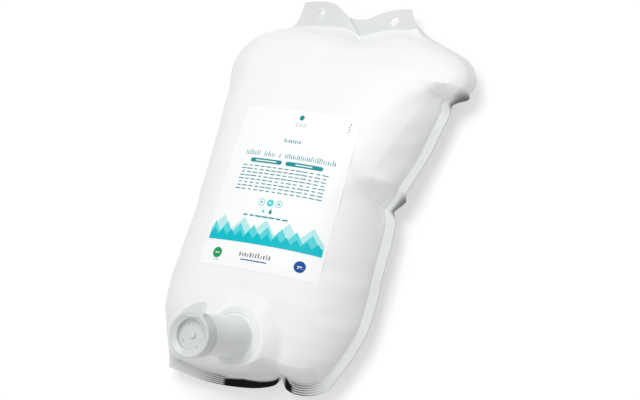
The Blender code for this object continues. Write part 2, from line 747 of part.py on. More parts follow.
def cap_profile():
    """Give the cap's section, from the rim down the skirt, over the tube's end and into the dish."""
    inside = TUBE_RADIUS + CAP_CLEARANCE
    outside = inside + CAP_WALL
    under = TUBE_LENGTH + SEAT_GAP
    top = under + CAP_TOP
    plug = TUBE_RADIUS - TUBE_WALL - CAP_CLEARANCE
    floor = under - CAP_PLUG_DEPTH
    dish = plug - CAP_PLUG_WALL
    base = cap_base()
    edge = CAP_EDGE_RADIUS
    profile = arc(outside - edge, top - edge, edge, 90, 0, 4)
    profile += [(outside, base), (inside, base), (inside, under), (plug, under), (plug, floor), (0.0, floor)]
    profile += [(0.0, floor + CAP_PLUG_WALL + CAP_BOSS_HEIGHT),
                (CAP_BOSS_RADIUS * 0.8, floor + CAP_PLUG_WALL + CAP_BOSS_HEIGHT),
                (CAP_BOSS_RADIUS, floor + CAP_PLUG_WALL), (dish - CAP_DISH_CHAMFER, floor + CAP_PLUG_WALL),
                (dish, floor + CAP_PLUG_WALL + CAP_DISH_CHAMFER), (dish, under + CAP_PLUG_WALL),
                (outside - CAP_RIM, top)]
    return profile


def build_tab(cutters, frame):
    """Model the pull tab: a leaf with one straight edge, which bends back to the bag."""
    outside = TUBE_RADIUS + CAP_CLEARANCE + CAP_WALL
    root = math.sqrt(outside**2 - (TAB_WIDTH / 2) ** 2) - CAP_WALL / 2
    top = TUBE_LENGTH + SEAT_GAP + CAP_TOP
    mesh = bmesh.new()
    rows = []
    for k in range(TAB_STEPS + 1):
        share = k / TAB_STEPS
        out = root + (outside + TAB_REACH - root) * share
        height = top - TAB_SINK - TAB_THICKNESS - TAB_DROP * share**TAB_BEND
        width = TAB_WIDTH + (TAB_TIP_WIDTH - TAB_WIDTH) * share**TAB_TAPER
        half = width / 2 * math.sqrt(max(1 - share**TAB_TIP_ROUNDNESS, TAB_TIP_LEAST))
        middle = (TAB_WIDTH - width) / 2
        rows.append([mesh.verts.new((middle + side * half, out, height + lift))
                     for lift in (0.0, TAB_THICKNESS) for side in (-1, 1)])
    for a, b in zip(rows, rows[1:]):
        mesh.faces.new((a[0], a[1], b[1], b[0]))
        mesh.faces.new((a[2], b[2], b[3], a[3]))
        mesh.faces.new((a[0], b[0], b[2], a[2]))
        mesh.faces.new((a[1], a[3], b[3], b[1]))
    mesh.faces.new((rows[0][0], rows[0][2], rows[0][3], rows[0][1]))
    mesh.faces.new((rows[-1][0], rows[-1][1], rows[-1][3], rows[-1][2]))
    bmesh.ops.recalc_face_normals(mesh, faces=mesh.faces)
    data = bpy.data.meshes.new("tab_tool")
    mesh.to_mesh(data)
    mesh.free()
    tab = add_object("tab_tool", data, cutters)
    tab.parent = frame
    return tab


def build_cap(collection, cutters, frame):
    """Model the cap: turned body, pull tab and four small nubs in its sunk face."""
    plastic = new_material("cap plastic", (0.84, 0.86, 0.86), 0.25)
    cap = add_object("cap", turned_mesh("cap", cap_profile()), collection, plastic)
    turn(cap)
    cap.parent = frame
    cut(cap, build_tab(cutters, frame), "UNION")
    floor = TUBE_LENGTH + SEAT_GAP - CAP_PLUG_DEPTH + CAP_PLUG_WALL
    for number in range(NUB_COUNT):
        angle = 2 * math.pi * (number + NUB_FIRST) / NUB_COUNT
        data = bpy.data.meshes.new(f"nub_tool_{number + 1}")
        mesh = bmesh.new()
        bmesh.ops.create_cone(mesh, cap_ends=True, segments=NUB_SIDES, radius1=NUB_RADIUS,
                              radius2=NUB_RADIUS * NUB_TAPER, depth=2 * NUB_HEIGHT)
        mesh.to_mesh(data)
        mesh.free()
        nub = add_object(f"nub_tool_{number + 1}", data, cutters)
        nub.location = (NUB_RING_RADIUS * math.cos(angle), NUB_RING_RADIUS * math.sin(angle), floor)
        nub.parent = frame
        cut(cap, nub, "UNION")
    return cap


def build_label(collection, pouch):
    """Model the label: a thin sheet laid on the front of the pouch."""
    height = LABEL_TOP - LABEL_BOTTOM
    columns = round(LABEL_WIDTH / LABEL_CELL)
    rows = round(height / LABEL_CELL)
    mesh = bmesh.new()
    bmesh.ops.create_grid(mesh, x_segments=columns, y_segments=rows, size=0.5,
                          matrix=Matrix.Diagonal((LABEL_WIDTH, height, 1.0, 1.0)))
    data = bpy.data.meshes.new("label")
    mesh.to_mesh(data)
    mesh.free()
    paper = new_material("label paper", (0.93, 0.94, 0.94), 0.45)
    label = add_object("label", data, collection, paper)
    label.location = (LABEL_CENTRE_X, (LABEL_TOP + LABEL_BOTTOM) / 2, 4 * SEAM_HEIGHT)
    wrap = label.modifiers.new("lay on the front", "SHRINKWRAP")
    wrap.target = pouch
    wrap.wrap_method = "PROJECT"
    wrap.use_project_z = True
    wrap.use_negative_direction = True
    wrap.use_positive_direction = False
    wrap.offset = LABEL_GAP
    sheet = label.modifiers.new("thickness", "SOLIDIFY")
    sheet.thickness = LABEL_THICKNESS
    sheet.offset = 1.0
    return label


def main():
    """Build every piece of the bag."""
    clear_scene()
    bag = new_collection("refill bag")
    cutters = new_collection("cutters")
    frame = bpy.data.objects.new("spout_frame", None)
    bag.objects.link(frame)
    frame.location = spout_foot()
    frame.rotation_euler = (SPOUT_LEAN, 0.0, 0.0)
    pouch = build_pouch(bag, cutters)
    build_spout(bag, frame)
    build_valve(bag, frame)
    build_cap(bag, cutters, frame)
    build_label(bag, pouch)


main()
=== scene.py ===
"""Looks of a filled liquid refill bag: welded film pouch, paper label, moulded spout, pull-off cap.

Everything is in metres in the CAD's own frame: the bag lies on its back, +X is the label's right,
+Y runs to the hanging ears and +Z is up out of the front.
"""

import logging
import math
from dataclasses import dataclass, field
from enum import Enum

import bmesh
import bpy
import numpy as np
from mathutils import Matrix, Vector
from mathutils.bvhtree import BVHTree


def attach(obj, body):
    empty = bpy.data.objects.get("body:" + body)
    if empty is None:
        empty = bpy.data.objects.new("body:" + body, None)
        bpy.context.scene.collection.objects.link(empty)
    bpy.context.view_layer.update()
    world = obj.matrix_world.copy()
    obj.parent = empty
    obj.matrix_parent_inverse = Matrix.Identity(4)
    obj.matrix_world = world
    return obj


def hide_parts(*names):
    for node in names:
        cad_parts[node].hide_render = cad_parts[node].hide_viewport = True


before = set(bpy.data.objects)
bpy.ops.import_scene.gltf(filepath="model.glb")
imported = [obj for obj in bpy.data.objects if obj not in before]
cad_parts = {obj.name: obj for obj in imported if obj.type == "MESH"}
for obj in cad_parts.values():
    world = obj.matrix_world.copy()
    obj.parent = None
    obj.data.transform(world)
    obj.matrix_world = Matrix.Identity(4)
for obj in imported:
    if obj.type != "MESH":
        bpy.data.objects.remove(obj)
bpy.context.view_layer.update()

MM = 0.001
TURNED_SHARP_ANGLE = math.radians(35)
LOG = logging.getLogger("refill_bag")
Grid = np.ndarray
Run = tuple[tuple[float, float], ...]
Side = tuple[Run, ...]
Span = tuple[float, float]


class Body(Enum):
    """The two rigid bodies of the CAD."""

    BAG = "bag"
    CAP = "cap"


class Slot(Enum):
    """The record's material slots."""

    FILM = "film"
    SPOUT = "spout_plastic"
    CAP = "cap_plastic"
    LABEL = "label_paper"


class InkColour(Enum):
    """The printed colours of the label, as sRGB hex values."""

    PALE = "BDEEEE"
    MID = "5BD8DF"
    STRONG = "00C0CE"
    TEAL = "0F929C"
    BLUE = "064C9E"
    GREEN = "1F9C58"
    GREY = "6E6E70"
    SOFT_GREY = "A9AFB0"
    KNOCKOUT = "F4FBFB"


def linear(hex_colour: str) -> tuple[float, float, float, float]:
    """Turn an sRGB hex colour to linear values.

    Args:
        hex_colour: six hex digits.

    Returns:
        Linear red, green, blue and an alpha of 1.
    """
    parts = [int(hex_colour[k:k + 2], 16) / 255 for k in (0, 2, 4)]
    red, green, blue = (c / 12.92 if c <= 0.04045 else ((c + 0.055) / 1.055) ** 2.4 for c in parts)
    return (red, green, blue, 1.0)


def add_node(tree: bpy.types.NodeTree, kind: str, settings: dict | None = None,
             links: dict | None = None) -> bpy.types.Node:
    """Add a node, give it its settings and link what feeds it.

    Args:
        tree: the node tree.
        kind: the node's type.
        settings: values by input name or number, or by property name.
        links: by input name or number, the source node and its output.

    Returns:
        The new node.
    """
    node = tree.nodes.new(kind)
    for name, value in (settings or {}).items():
        if isinstance(name, int) or name in node.inputs:
            node.inputs[name].default_value = value
        else:
            setattr(node, name, value)
    for name, (source, output) in (links or {}).items():
        tree.links.new(source.outputs[output], node.inputs[name])
    return node


class Shading:
    """A material with a Principled shader, and the few ways in which its noises feed that shader."""

    def __init__(self, name: str, **values: float) -> None:
        """Make the material and set the shader's constant values.

        Args:
            name: the material's name.
            values: constant values by the shader's input names, with low lines for spaces.
        """
        self.material = bpy.data.materials.new(name)
        self.material.use_nodes = True
        self.tree = self.material.node_tree
        self.shader = self.tree.nodes["Principled BSDF"]
        for key, value in values.items():
            self.shader.inputs[key.replace("_", " ")].default_value = value

    def node(self, kind: str, settings: dict | None = None, links: dict | None = None) -> bpy.types.Node:
        """Add a node."""
        return add_node(self.tree, kind, settings, links)

    def feed(self, source: bpy.types.Node, output: int | str, name: str) -> None:
        """Link a node's output to one of the shader's inputs."""
        self.tree.links.new(source.outputs[output], self.shader.inputs[name])

    def noise(self, scale: float, detail: float, distortion: float = 0.0) -> bpy.types.Node:
        """Add a noise in the object's own coordinates."""
        place = self.node("ShaderNodeTexCoord")
        return self.node("ShaderNodeTexNoise", {"Scale": scale, "Detail": detail, "Distortion": distortion},
                         {"Vector": (place, "Object")})

    def shaded(self, colour: str, shade: tuple[float, float, float], noise: bpy.types.Node) -> bpy.types.Node:
        """Shade a colour a little where a noise is high."""
        return self.node("ShaderNodeMix", {"data_type": "RGBA", "blend_type": "MULTIPLY",
                                           6: linear(colour), 7: (*shade, 1.0)}, {0: (noise, 0)})

    def roughen(self, low: float, high: float, noise: bpy.types.Node,
                span: tuple[float, float] = (0.0, 1.0)) -> None:
        """Let a noise drive the roughness from low to high."""
        spread = self.node("ShaderNodeMapRange", {"From Min": span[0], "From Max": span[1],
                                                  "To Min": low, "To Max": high}, {"Value": (noise, 0)})
        self.feed(spread, 0, "Roughness")

    def bump(self, strength: float, distance: float, noise: bpy.types.Node,
             under: bpy.types.Node | None = None) -> bpy.types.Node:
        """Add a bump driven by a noise, over another bump if given."""
        links = {"Height": (noise, 0)}
        if under:
            links["Normal"] = (under, "Normal")
        return self.node("ShaderNodeBump", {"Strength": strength, "Distance": distance}, links)


def seen_rays(tree: bpy.types.NodeTree) -> bpy.types.Node:
    """Give 1 for camera, glossy and transmission rays, and 0 for those that only bring light."""
    path = add_node(tree, "ShaderNodeLightPath")
    seen = add_node(tree, "ShaderNodeMath", {"operation": "MAXIMUM"},
                    {0: (path, "Is Camera Ray"), 1: (path, "Is Glossy Ray")})
    return add_node(tree, "ShaderNodeMath", {"operation": "MAXIMUM"},
                    {0: (seen, 0), 1: (path, "Is Transmission Ray")})


@dataclass(frozen=True)
class FilmFinish:
    """White polyethylene film, blown and laminated: satin, with a soft sheen and tiny creases; shade is
    painted nearly black on the bottom weld and dark at the turned-under lobe ends.
    """

    name: str = "white polyethylene film, blown and laminated"
    colour: str = "F7F8F8"
    seam_colour: str = "DCDEDE"
    painted_shade_colour: str = "0B0C0D"
    roughness_low: float = 0.38
    roughness_high: float = 0.52
    peel_size: float = 0.9 * MM
    peel_depth: float = 0.012 * MM
    crinkle_size: float = 11.0 * MM
    crinkle_depth: float = 0.22 * MM
    cloudiness: float = 24.0
    streaks: float = 5.56
    gloss: float = 0.30
    painted_shade_gloss: float = 0.05

    def build(self) -> bpy.types.Material:
        """Build the node tree and return the material."""
        look = Shading(self.name, IOR=1.50, Coat_Weight=0.05, Coat_Roughness=0.30)
        # Cloudiness: the film's milky tone wanders a little over a few centimetres
        cloud = look.noise(self.cloudiness, 3.0)
        milky = look.shaded(self.colour, (0.972, 0.976, 0.978), cloud)
        # Welded stretches and ears are two bare films and look greyer than the filled body
        tone = look.node("ShaderNodeAttribute", {"attribute_name": "tone"})
        seam = look.node("ShaderNodeMix", {"data_type": "RGBA", 7: linear(self.seam_colour)},
                         {0: (tone, "Fac"), 6: (milky, 2)})
        # Painted shade: the bottom weld and the lobe ends where the film turns under are painted dark, and
        # lose their gloss so that they stay dark
        black = self.painted_shade_mask(look)
        weld = look.node("ShaderNodeMix", {"data_type": "RGBA", 7: linear(self.painted_shade_colour)},
                         {0: (black, 0), 6: (seam, 2)})
        look.feed(weld, 2, "Base Color")
        dull = look.node("ShaderNodeMapRange", {"To Min": self.gloss, "To Max": self.painted_shade_gloss},
                         {"Value": (black, 0)})
        look.feed(dull, 0, "Specular IOR Level")
        look.roughen(self.roughness_low, self.roughness_high, cloud, (0.3, 0.7))
        crinkle = look.noise(1 / self.crinkle_size, 2.0, 0.6)
        peel = look.noise(1 / self.peel_size, 2.0)
        broad = look.bump(0.35, self.crinkle_depth, crinkle)
        look.feed(look.bump(0.4, self.peel_depth, peel, broad), "Normal", "Normal")
        return look.material

    def painted_shade_mask(self, look: Shading) -> bpy.types.Node:
        """Tell where shade is painted: nearly black on the bottom weld, in streaks beside that, and dark at
        the turned-under lobe ends.
        """
        dark = look.node("ShaderNodeAttribute", {"attribute_name": "painted_shade"})
        streak = look.node("ShaderNodeAttribute", {"attribute_name": "painted_shade_streak"})
        share = look.node("ShaderNodeAttribute", {"attribute_name": "weld_share"})
        turn = look.node("ShaderNodeMath", {"operation": "MULTIPLY", 1: 2 * math.pi * self.streaks},
                         {0: (share, "Fac")})
        wave = look.node("ShaderNodeMath", {"operation": "SINE"}, {0: (turn, 0)})
        line = look.node("ShaderNodeMapRange", {"From Min": -0.3, "From Max": 0.5}, {"Value": (wave, 0)})
        lines = look.node("ShaderNodeMath", {"operation": "MULTIPLY"}, {0: (line, 0), 1: (streak, "Fac")})
        return look.node("ShaderNodeMath", {"operation": "MAXIMUM"}, {0: (dark, "Fac"), 1: (lines, 0)})


@dataclass(frozen=True)
class PaperFinish:
    """Coated white label paper, calendered: smooth and matt, with a faint fibre grain."""

    name: str = "white label paper, coated"
    colour: str = "FBFCFC"
    fibre_size: float = 0.6 * MM
    fibre_depth: float = 0.010 * MM

    def build(self) -> bpy.types.Material:
        """Build the node tree and return the material."""
        look = Shading(self.name, IOR=1.48)
        fibre = look.noise(1 / self.fibre_size, 4.0)
        look.feed(look.shaded(self.colour, (0.985, 0.986, 0.985), fibre), 2, "Base Color")
        look.roughen(0.42, 0.54, fibre)
        look.feed(look.bump(0.3, self.fibre_depth, fibre), "Normal", "Normal")
        return look.material


@dataclass(frozen=True)
class InkFinish:
    """Offset printing ink on coated paper: a flat colour with a barely uneven lay-down."""

    ink: InkColour

    def build(self) -> bpy.types.Material:
        """Build the node tree and return the material."""
        shade = self.ink.name.lower().replace("_", " ")
        look = Shading(f"printing ink, {shade}, offset", Specular_IOR_Level=0.15)
        lay = look.noise(900.0, 2.0)
        look.feed(look.shaded(self.ink.value, (0.94, 0.95, 0.95), lay), 2, "Base Color")
        look.roughen(0.36, 0.50, lay)
        return look.material


@dataclass(frozen=True)
class MouldedFinish:
    """Natural low-density polyethylene, injection moulded: milky, slightly see-through, waxy."""

    name: str
    colour: str
    roughness: float
    transmission: float = 0.05

    def build(self) -> bpy.types.Material:
        """Build the node tree and return the material."""
        look = Shading(self.name, IOR=1.51, Transmission_Weight=self.transmission, Subsurface_Weight=0.15,
                       Subsurface_Radius=(1.0, 1.0, 1.0), Subsurface_Scale=1.5 * MM)
        flow = look.noise(60.0, 3.0, 0.8)
        look.feed(look.shaded(self.colour, (0.93, 0.94, 0.945), flow), 2, "Base Color")
        look.roughen(self.roughness - 0.05, self.roughness + 0.07, flow)
        # Spark-eroded mould texture, drawn at half a millimetre so that it shows
        spark = look.noise(2000.0, 2.0)
        look.feed(look.bump(0.25, 0.01 * MM, spark), "Normal", "Normal")
        return look.material


@dataclass(frozen=True)
class SiliconeFinish:
    """Translucent silicone rubber, compression moulded: soft, matt and a little dusty."""

    name: str = "outlet valve silicone, compression moulded"
    colour: str = "D9DBDA"

    def build(self) -> bpy.types.Material:
        """Build the node tree and return the material."""
        look = Shading(self.name, IOR=1.41, Subsurface_Weight=0.3, Subsurface_Scale=1.5 * MM)
        dust = look.noise(420.0, 4.0)
        look.feed(look.shaded(self.colour, (0.9, 0.9, 0.9), dust), 2, "Base Color")
        look.roughen(0.5, 0.68, dust)
        return look.material


def link_new(name: str, data: bpy.types.ID) -> bpy.types.Object:
    """Make an object from its data and put it in the scene."""
    obj = bpy.data.objects.new(name, data)
    bpy.context.scene.collection.objects.link(obj)
    return obj


def film_tree(pouch: bpy.types.Object) -> BVHTree:
    """Make a search tree of the pouch's faces, for laying things on it."""
    return BVHTree.FromPolygons([v.co for v in pouch.data.vertices],
                                [tuple(p.vertices) for p in pouch.data.polygons])


def face_outwards(data: bpy.types.Mesh) -> None:
    """Turn a closed mesh's faces outwards."""
    mesh = bmesh.new()
    mesh.from_mesh(data)
    bmesh.ops.recalc_face_normals(mesh, faces=mesh.faces[:])
    mesh.to_mesh(data)
    mesh.free()


def write_values(data: bpy.types.Mesh, name: str, values: Grid) -> None:
    """Write a float attribute, one value for each vertex, that a material reads by name."""
    layer = data.attributes.new(name, "FLOAT", "POINT")
    layer.data.foreach_set("value", values.astype(np.float32))


def grid_quads(rows: int, columns: int) -> tuple[Grid, Grid]:
    """Number a grid's places and give its quads, facing up."""
    number = np.arange(rows * columns).reshape(rows, columns)
    quads = np.stack([number[:-1, :-1], number[:-1, 1:], number[1:, 1:], number[1:, :-1]], -1)
    return number, quads.reshape(-1, 4)


def mesh_object(name: str, verts: list, faces: list, smooth_angle: float | None = 40.0) -> bpy.types.Object:
    """Make a mesh object in the scene.

    Args:
        name: the object's name.
        verts: vertex places.
        faces: vertex numbers of each face.
        smooth_angle: faces meet smoothly below this angle in degrees; None keeps them flat.

    Returns:
        The object.
    """
    data = bpy.data.meshes.new(name)
    data.from_pydata(verts, [], faces)
    data.update()
    obj = link_new(name, data)
    if smooth_angle is not None:
        data.shade_smooth()
        data.set_sharp_from_angle(angle=math.radians(smooth_angle))
    return obj


def settled(obj: bpy.types.Object, name: str) -> bpy.types.Object:
    """Turn an object with modifiers into a plain mesh object and remove the original.

    Args:
        obj: the object with modifiers.
        name: the plain object's name.

    Returns:
        The plain mesh object, with its place in its mesh.
    """
    bpy.context.view_layer.update()
    graph = bpy.context.evaluated_depsgraph_get()
    data = bpy.data.meshes.new_from_object(obj.evaluated_get(graph), depsgraph=graph)
    data.transform(obj.matrix_world)
    old = obj.data
    bpy.data.objects.remove(obj, do_unlink=True)
    if old is not None and old.users == 0:
        bpy.data.meshes.remove(old)
    data.name = name
    return link_new(name, data)


def dress(obj: bpy.types.Object, material: bpy.types.Material) -> None:
    """Give an object one material."""
    obj.data.materials.clear()
    obj.data.materials.append(material)


def smooth_step(value: Grid | float) -> Grid:
    """Ease from 0 to 1 as the value goes from 0 to 1."""
    t = np.clip(value, 0.0, 1.0)
    return t * t * (3 - 2 * t)


def ramp(value: Grid, span: Span) -> Grid:
    """Ease from 0 to 1 over a span, given by its start and its width in millimetres."""
    return smooth_step((value - span[0] * MM) / (span[1] * MM))


def tapered(along: Grid, rise: Span, fall: Span) -> Grid:
    """Ease in from a start over a width, and ease out over a width before an end."""
    return smooth_step((along - rise[0]) / rise[1]) * smooth_step((fall[0] - along) / fall[1])


def relaxed(line: Grid, passes: int) -> Grid:
    """Smooth a line's points and leave its ends where they are."""
    line = line.copy()
    for _ in range(passes):
        line[1:-1] = (line[:-2] + 2 * line[1:-1] + line[2:]) / 4
    return line


def from_line(x: Grid, y: Grid, start: tuple[float, float],
              end: tuple[float, float]) -> tuple[Grid, Grid, float]:
    """Measure places against a straight line.

    Args:
        x: grid of x places.
        y: grid of y places.
        start: where the line starts, in millimetres.
        end: where it ends.

    Returns:
        How far ahead of the start, how far to the right of the line, and the line's length.
    """
    first = np.array(start) * MM
    run = np.array(end) * MM - first
    length = np.linalg.norm(run)
    run = run / length
    ahead = (x - first[0]) * run[0] + (y - first[1]) * run[1]
    side = (x - first[0]) * run[1] - (y - first[1]) * run[0]
    return ahead, side, length


def wander(share: Grid, knots: int, seed: int) -> Grid:
    """Draw a smooth random line.

    Args:
        share: places from 0 to 1.
        knots: how many random values the line goes through.
        seed: the seed of those values.

    Returns:
        Values between -1 and 1.
    """
    values = np.random.default_rng(seed).uniform(-1, 1, knots + 1)
    at = np.clip(share, 0, 1) * knots
    low = np.minimum(at.astype(int), knots - 1)
    t = smooth_step(at - low)
    return values[low] * (1 - t) + values[low + 1] * t


@dataclass
class SpoutFrame:
    """Where the spout stands on the pouch and which way it points."""

    place: tuple[float, float] = (-2.0 * MM, -128.5 * MM)
    rise: float = 44.0 * MM
    lean: float = math.radians(13.6)
    seam_height: float = 19.0 * MM

    def foot(self) -> Vector:
        """Give the middle of the flange's underside."""
        return Vector((self.place[0], self.place[1], self.seam_height + self.rise))

    def axis(self) -> Vector:
        """Give the direction in which the tube points."""
        return Vector((0.0, -math.sin(self.lean), math.cos(self.lean)))

    def matrix(self) -> Matrix:
        """Give the matrix from the spout's own frame to the bag's."""
        return Matrix.Translation(self.foot()) @ Matrix.Rotation(self.lean, 4, "X")


@dataclass(frozen=True)
class Buckle:
    """A buckle of the film: a flat facet that opens from an inner tip towards a notch in the seam."""

    notch: tuple[float, float]
    tip: tuple[float, float]
    step: float
    reach: float
    opening: float


@dataclass(frozen=True)
class Crease:
    """A short valley in the film, with one sharp line and soft sides."""

    start: tuple[float, float]
    end: tuple[float, float]
    depth: float
    width: float


@dataclass(frozen=True)
class Wave:
    """A slight random waviness of the seam."""

    height: float
    run: float
    knots: int
    seed: int

    def at(self, place: Grid) -> Grid:
        """Give its heights at places along the seam."""
        return wander(place / self.run + 0.5, self.knots, self.seed) * self.height


@dataclass(frozen=True)
class Gather:
    """Fine gathers that leave one side's seam and fade into the body."""

    height: float
    reach: float
    knots: int
    seed: int
    skew: float

    def heights(self, along: Grid, sway: Grid, away: Grid) -> Grid:
        """Give heights from shares along the seam, swayed by a line, and shares away from the seam."""
        fade = np.exp(-away / self.reach)
        return wander(along + self.skew * sway, self.knots, self.seed) * fade * self.height


@dataclass
class PouchForm:
    """The pouch's outline and heights, from the same sizes as the CAD, read at any fineness."""

    spout: SpoutFrame = field(default_factory=SpoutFrame)
    refine: int = 5
    rows: int = 46
    columns: int = 30
    seam_height: float = 19.0 * MM
    seam_thickness: float = 1.3 * MM
    side_seam_width: float = 8.0 * MM
    left_seam_width: float = 3.2 * MM
    tucked_seam_width: float = 2.2 * MM
    crest: float = 49.0 * MM
    front_roundness: float = 2.55
    back_roundness: float = 4.5
    back_flattening: float = 1.16
    back_softness: float = 0.6
    back_end_roundness: int = 12
    ripple_gain: float = 3.0
    ripple_limit: float = 6.0 * MM
    left_seam_droop: float = 8.0 * MM
    shoulder_lift: float = 3.0 * MM
    weld_droop: float = 6.0 * MM
    ear_curl: float = 2.5 * MM
    crowding: tuple[float, float] = (0.75, 0.70)
    tangent_smoothing: int = 6
    corner_share: float = 0.10
    left_narrowing: Span = (-50, 40)
    right_narrowing: Span = (90, 8)
    left_droop_spans: tuple[Span, Span] = ((70, 34), (-60, 90))
    shoulder_spans: tuple[Span, Span] = ((70, 50), (84, 12))
    weld_span: Span = (138, 26)
    ear_span: Span = (138, 30)
    ear_curl_run: float = 17.0 * MM
    wave_span: Span = (70, 20)
    edge_wave: Wave = Wave(0.9 * MM, 0.36, 26, 5)
    weld_wave: Wave = Wave(0.8 * MM, 0.24, 15, 8)
    fold_line: Run = ((-7.0, 160.0), (17.0, 134.0))
    fold_span: Span = (128, 12)
    fold_rise: float = 1.5 * MM
    fold_sink: float = 1.9 * MM
    fold_edge: float = 1.6 * MM
    fold_front_reach: float = 15.0 * MM
    fold_back_reach: float = 8.0 * MM
    fold_taper: tuple[Span, Span] = ((-0.3, 0.3), (1.25, 0.5))
    left_tuck_spans: tuple[Span, Span] = ((50, 8), (-30, 40))
    shoulder_tuck_spans: tuple[Span, Span] = ((58, 8), (94, 6))
    notch_smoothing: int = 40
    notch_fade: float = 7.0
    notch_climb: float = 0.60
    tuck_drop: float = 5.0 * MM
    lobe_ends: tuple = (((82.5, -0.5), (92, 11)), ((110, 92), (123, 101)))
    lobe_drop: float = 1.5 * MM
    lobe_width: float = 3.5 * MM
    lobe_taper: tuple[Span, Span] = ((-0.25, 0.25), (1.15, 0.3))
    side_gather: Gather = Gather(1.0 * MM, 0.055, 34, 11, 0.015)
    top_gather: Gather = Gather(1.1 * MM, 0.055, 17, 12, 0.03)
    weld_gather: Gather = Gather(1.2 * MM, 0.030, 19, 13, 0.02)
    side_sway: float = 9.0
    softness: float = 0.35 * MM
    softness_waves: tuple[float, ...] = (19.0 * MM, 31.0 * MM, 23.0 * MM, 47.0 * MM)
    softness_sway: float = 1.2
    softness_start: float = 0.8
    softness_edge: float = 0.1
    fold_fade: float = 9.0 * MM
    flange_radius: float = 24.0 * MM
    land_margin: float = 2.0 * MM
    land_blend: float = 13.0 * MM
    pull_distance: float = 9.0 * MM
    pull_width: float = 6.0 * MM
    pull_height: float = 0.45 * MM
    seat_gap: float = 0.3 * MM
    left_side: Side = (((-86, -156), (-88, -144), (-95, -128), (-102, -108), (-104, -88), (-101, -62),
                        (-99, -32), (-100, 0), (-103, 40), (-105, 80), (-108, 104), (-104, 119),
                        (-91, 131), (-73, 139), (-56, 144)),)
    right_side: Side = (((66, -150), (75, -134), (84, -113), (88, -95), (88.5, -60), (88, -24),
                         (87, -9), (82.5, -0.5)),
                        ((82.5, -0.5), (91, 9), (96, 27), (101, 46), (106, 66), (109, 82), (110, 92)),
                        ((110, 92), (120, 97.5), (126, 108), (124, 118), (114, 130), (98, 137.5),
                         (82, 143.5), (68, 149.5), (60, 155)))
    top_side: Side = (((-56, 144), (-52, 150), (-51, 166)),
                      ((-51, 166), (-32, 167.5), (-19, 165.5), (-10, 160), (-1, 154.5), (13, 155),
                       (28, 163.5), (41, 168), (50, 169)),
                      ((50, 169), (53, 163), (60, 155)))
    bottom_side: Side = (((-86, -156), (-49, -161.5), (-10, -160.5), (14, -155), (22, -148)),
                         ((22, -148), (27, -156), (40, -158.5), (54, -156), (66, -150)))
    inner_top: Side = (((-58, 141), (-48, 142.5), (-28, 144), (-2, 145), (12, 140), (25, 144),
                        (40, 148), (54, 149), (62, 152)),)
    inner_bottom: Side = (((-75, -148.5), (-45, -153), (-8, -152.5), (12, -149), (22, -144.5),
                           (32, -148), (44, -148.5), (58, -143)),)
    crest_profile: Run = ((0.0, 0.0), (0.003, 0.42), (0.008, 0.60), (0.016, 0.70), (0.04, 0.78),
                          (0.088, 0.87), (0.165, 0.965), (0.25, 1.0), (0.38, 0.985), (0.515, 0.92),
                          (0.665, 0.80), (0.80, 0.62), (0.89, 0.44), (0.94, 0.27), (0.975, 0.11),
                          (1.0, 0.0))
    buckle_hollow: float = 1.2
    buckle_onset: float = 0.5
    buckle_edge: float = 1.2 * MM
    buckle_end: float = 2.6
    hollow_reach: float = 0.6
    facet_flatness: float = 0.85
    buckles: tuple[Buckle, ...] = (
        Buckle((113, 90), (98, 104), 5.0 * MM, 24 * MM, math.radians(38)),
        Buckle((84, -2.0), (64, 18), 5.5 * MM, 24 * MM, math.radians(40)))
    crease_taper: tuple[Span, Span] = ((-0.35, 0.5), (1.35, 0.5))
    crease_shoulder: float = 0.45
    crease_shoulder_place: float = 2.0
    creases: tuple[Crease, ...] = (
        Crease((70, 20), (100, 103), -2.2 * MM, 12.0 * MM),
        Crease((60, -60), (86, -62), 2.2 * MM, 5.0 * MM),
        Crease((70, -33), (88, -40), 1.4 * MM, 4.5 * MM),
        Crease((66, -94), (84, -101), 1.2 * MM, 4.5 * MM),
        Crease((84, 40), (98, 34), 0.9 * MM, 4.0 * MM),
        Crease((92, 66), (106, 62), 0.8 * MM, 4.0 * MM),
        Crease((20, -146), (10, -132), 1.6 * MM, 4.5 * MM),
        Crease((-98, -60), (-82, -52), 0.8 * MM, 4.0 * MM),
        Crease((-102, 30), (-86, 34), 0.7 * MM, 4.0 * MM),
        Crease((-84, -140), (-70, -118), 1.1 * MM, 4.5 * MM),
        Crease((14, 142), (2, 112), 1.3 * MM, 7.0 * MM),
        Crease((-60, 134), (-44, 112), 0.8 * MM, 6.0 * MM),
        Crease((64, 140), (50, 118), 0.9 * MM, 6.0 * MM))

    def smooth_run(self, points: Run, samples: int = 24) -> Grid:
        """Draw a smooth curve through a run of points.

        Args:
            points: places in millimetres.
            samples: points made for each span.

        Returns:
            An array of places in metres.
        """
        knots = np.array(points, dtype=float) * MM
        knots = np.vstack([2 * knots[0] - knots[1], knots, 2 * knots[-1] - knots[-2]])
        drawn = []
        for before, start, end, after in zip(knots, knots[1:], knots[2:], knots[3:]):
            span = np.linalg.norm(end - start)
            lean_in = (end - before) * span / (span + np.linalg.norm(start - before))
            lean_out = (after - start) * span / (span + np.linalg.norm(after - end))
            for step in range(samples):
                t = step / samples
                drawn.append((2 * t**3 - 3 * t**2 + 1) * start + (t**3 - 2 * t**2 + t) * lean_in
                             + (3 * t**2 - 2 * t**3) * end + (t**3 - t**2) * lean_out)
        drawn.append(knots[-2])
        return np.array(drawn)

    def side_curve(self, runs: Side) -> Grid:
        """Join the smooth runs of one side, keeping the corners between them."""
        return np.vstack([self.smooth_run(run) for run in runs])

    def at_shares(self, curve: Grid, shares: Grid) -> Grid:
        """Read points off a curve at shares of its length."""
        steps = np.linalg.norm(np.diff(curve, axis=0), axis=1)
        length = np.concatenate([[0.0], np.cumsum(steps)])
        want = shares * length[-1]
        return np.stack([np.interp(want, length, curve[:, axis]) for axis in (0, 1)], axis=1)

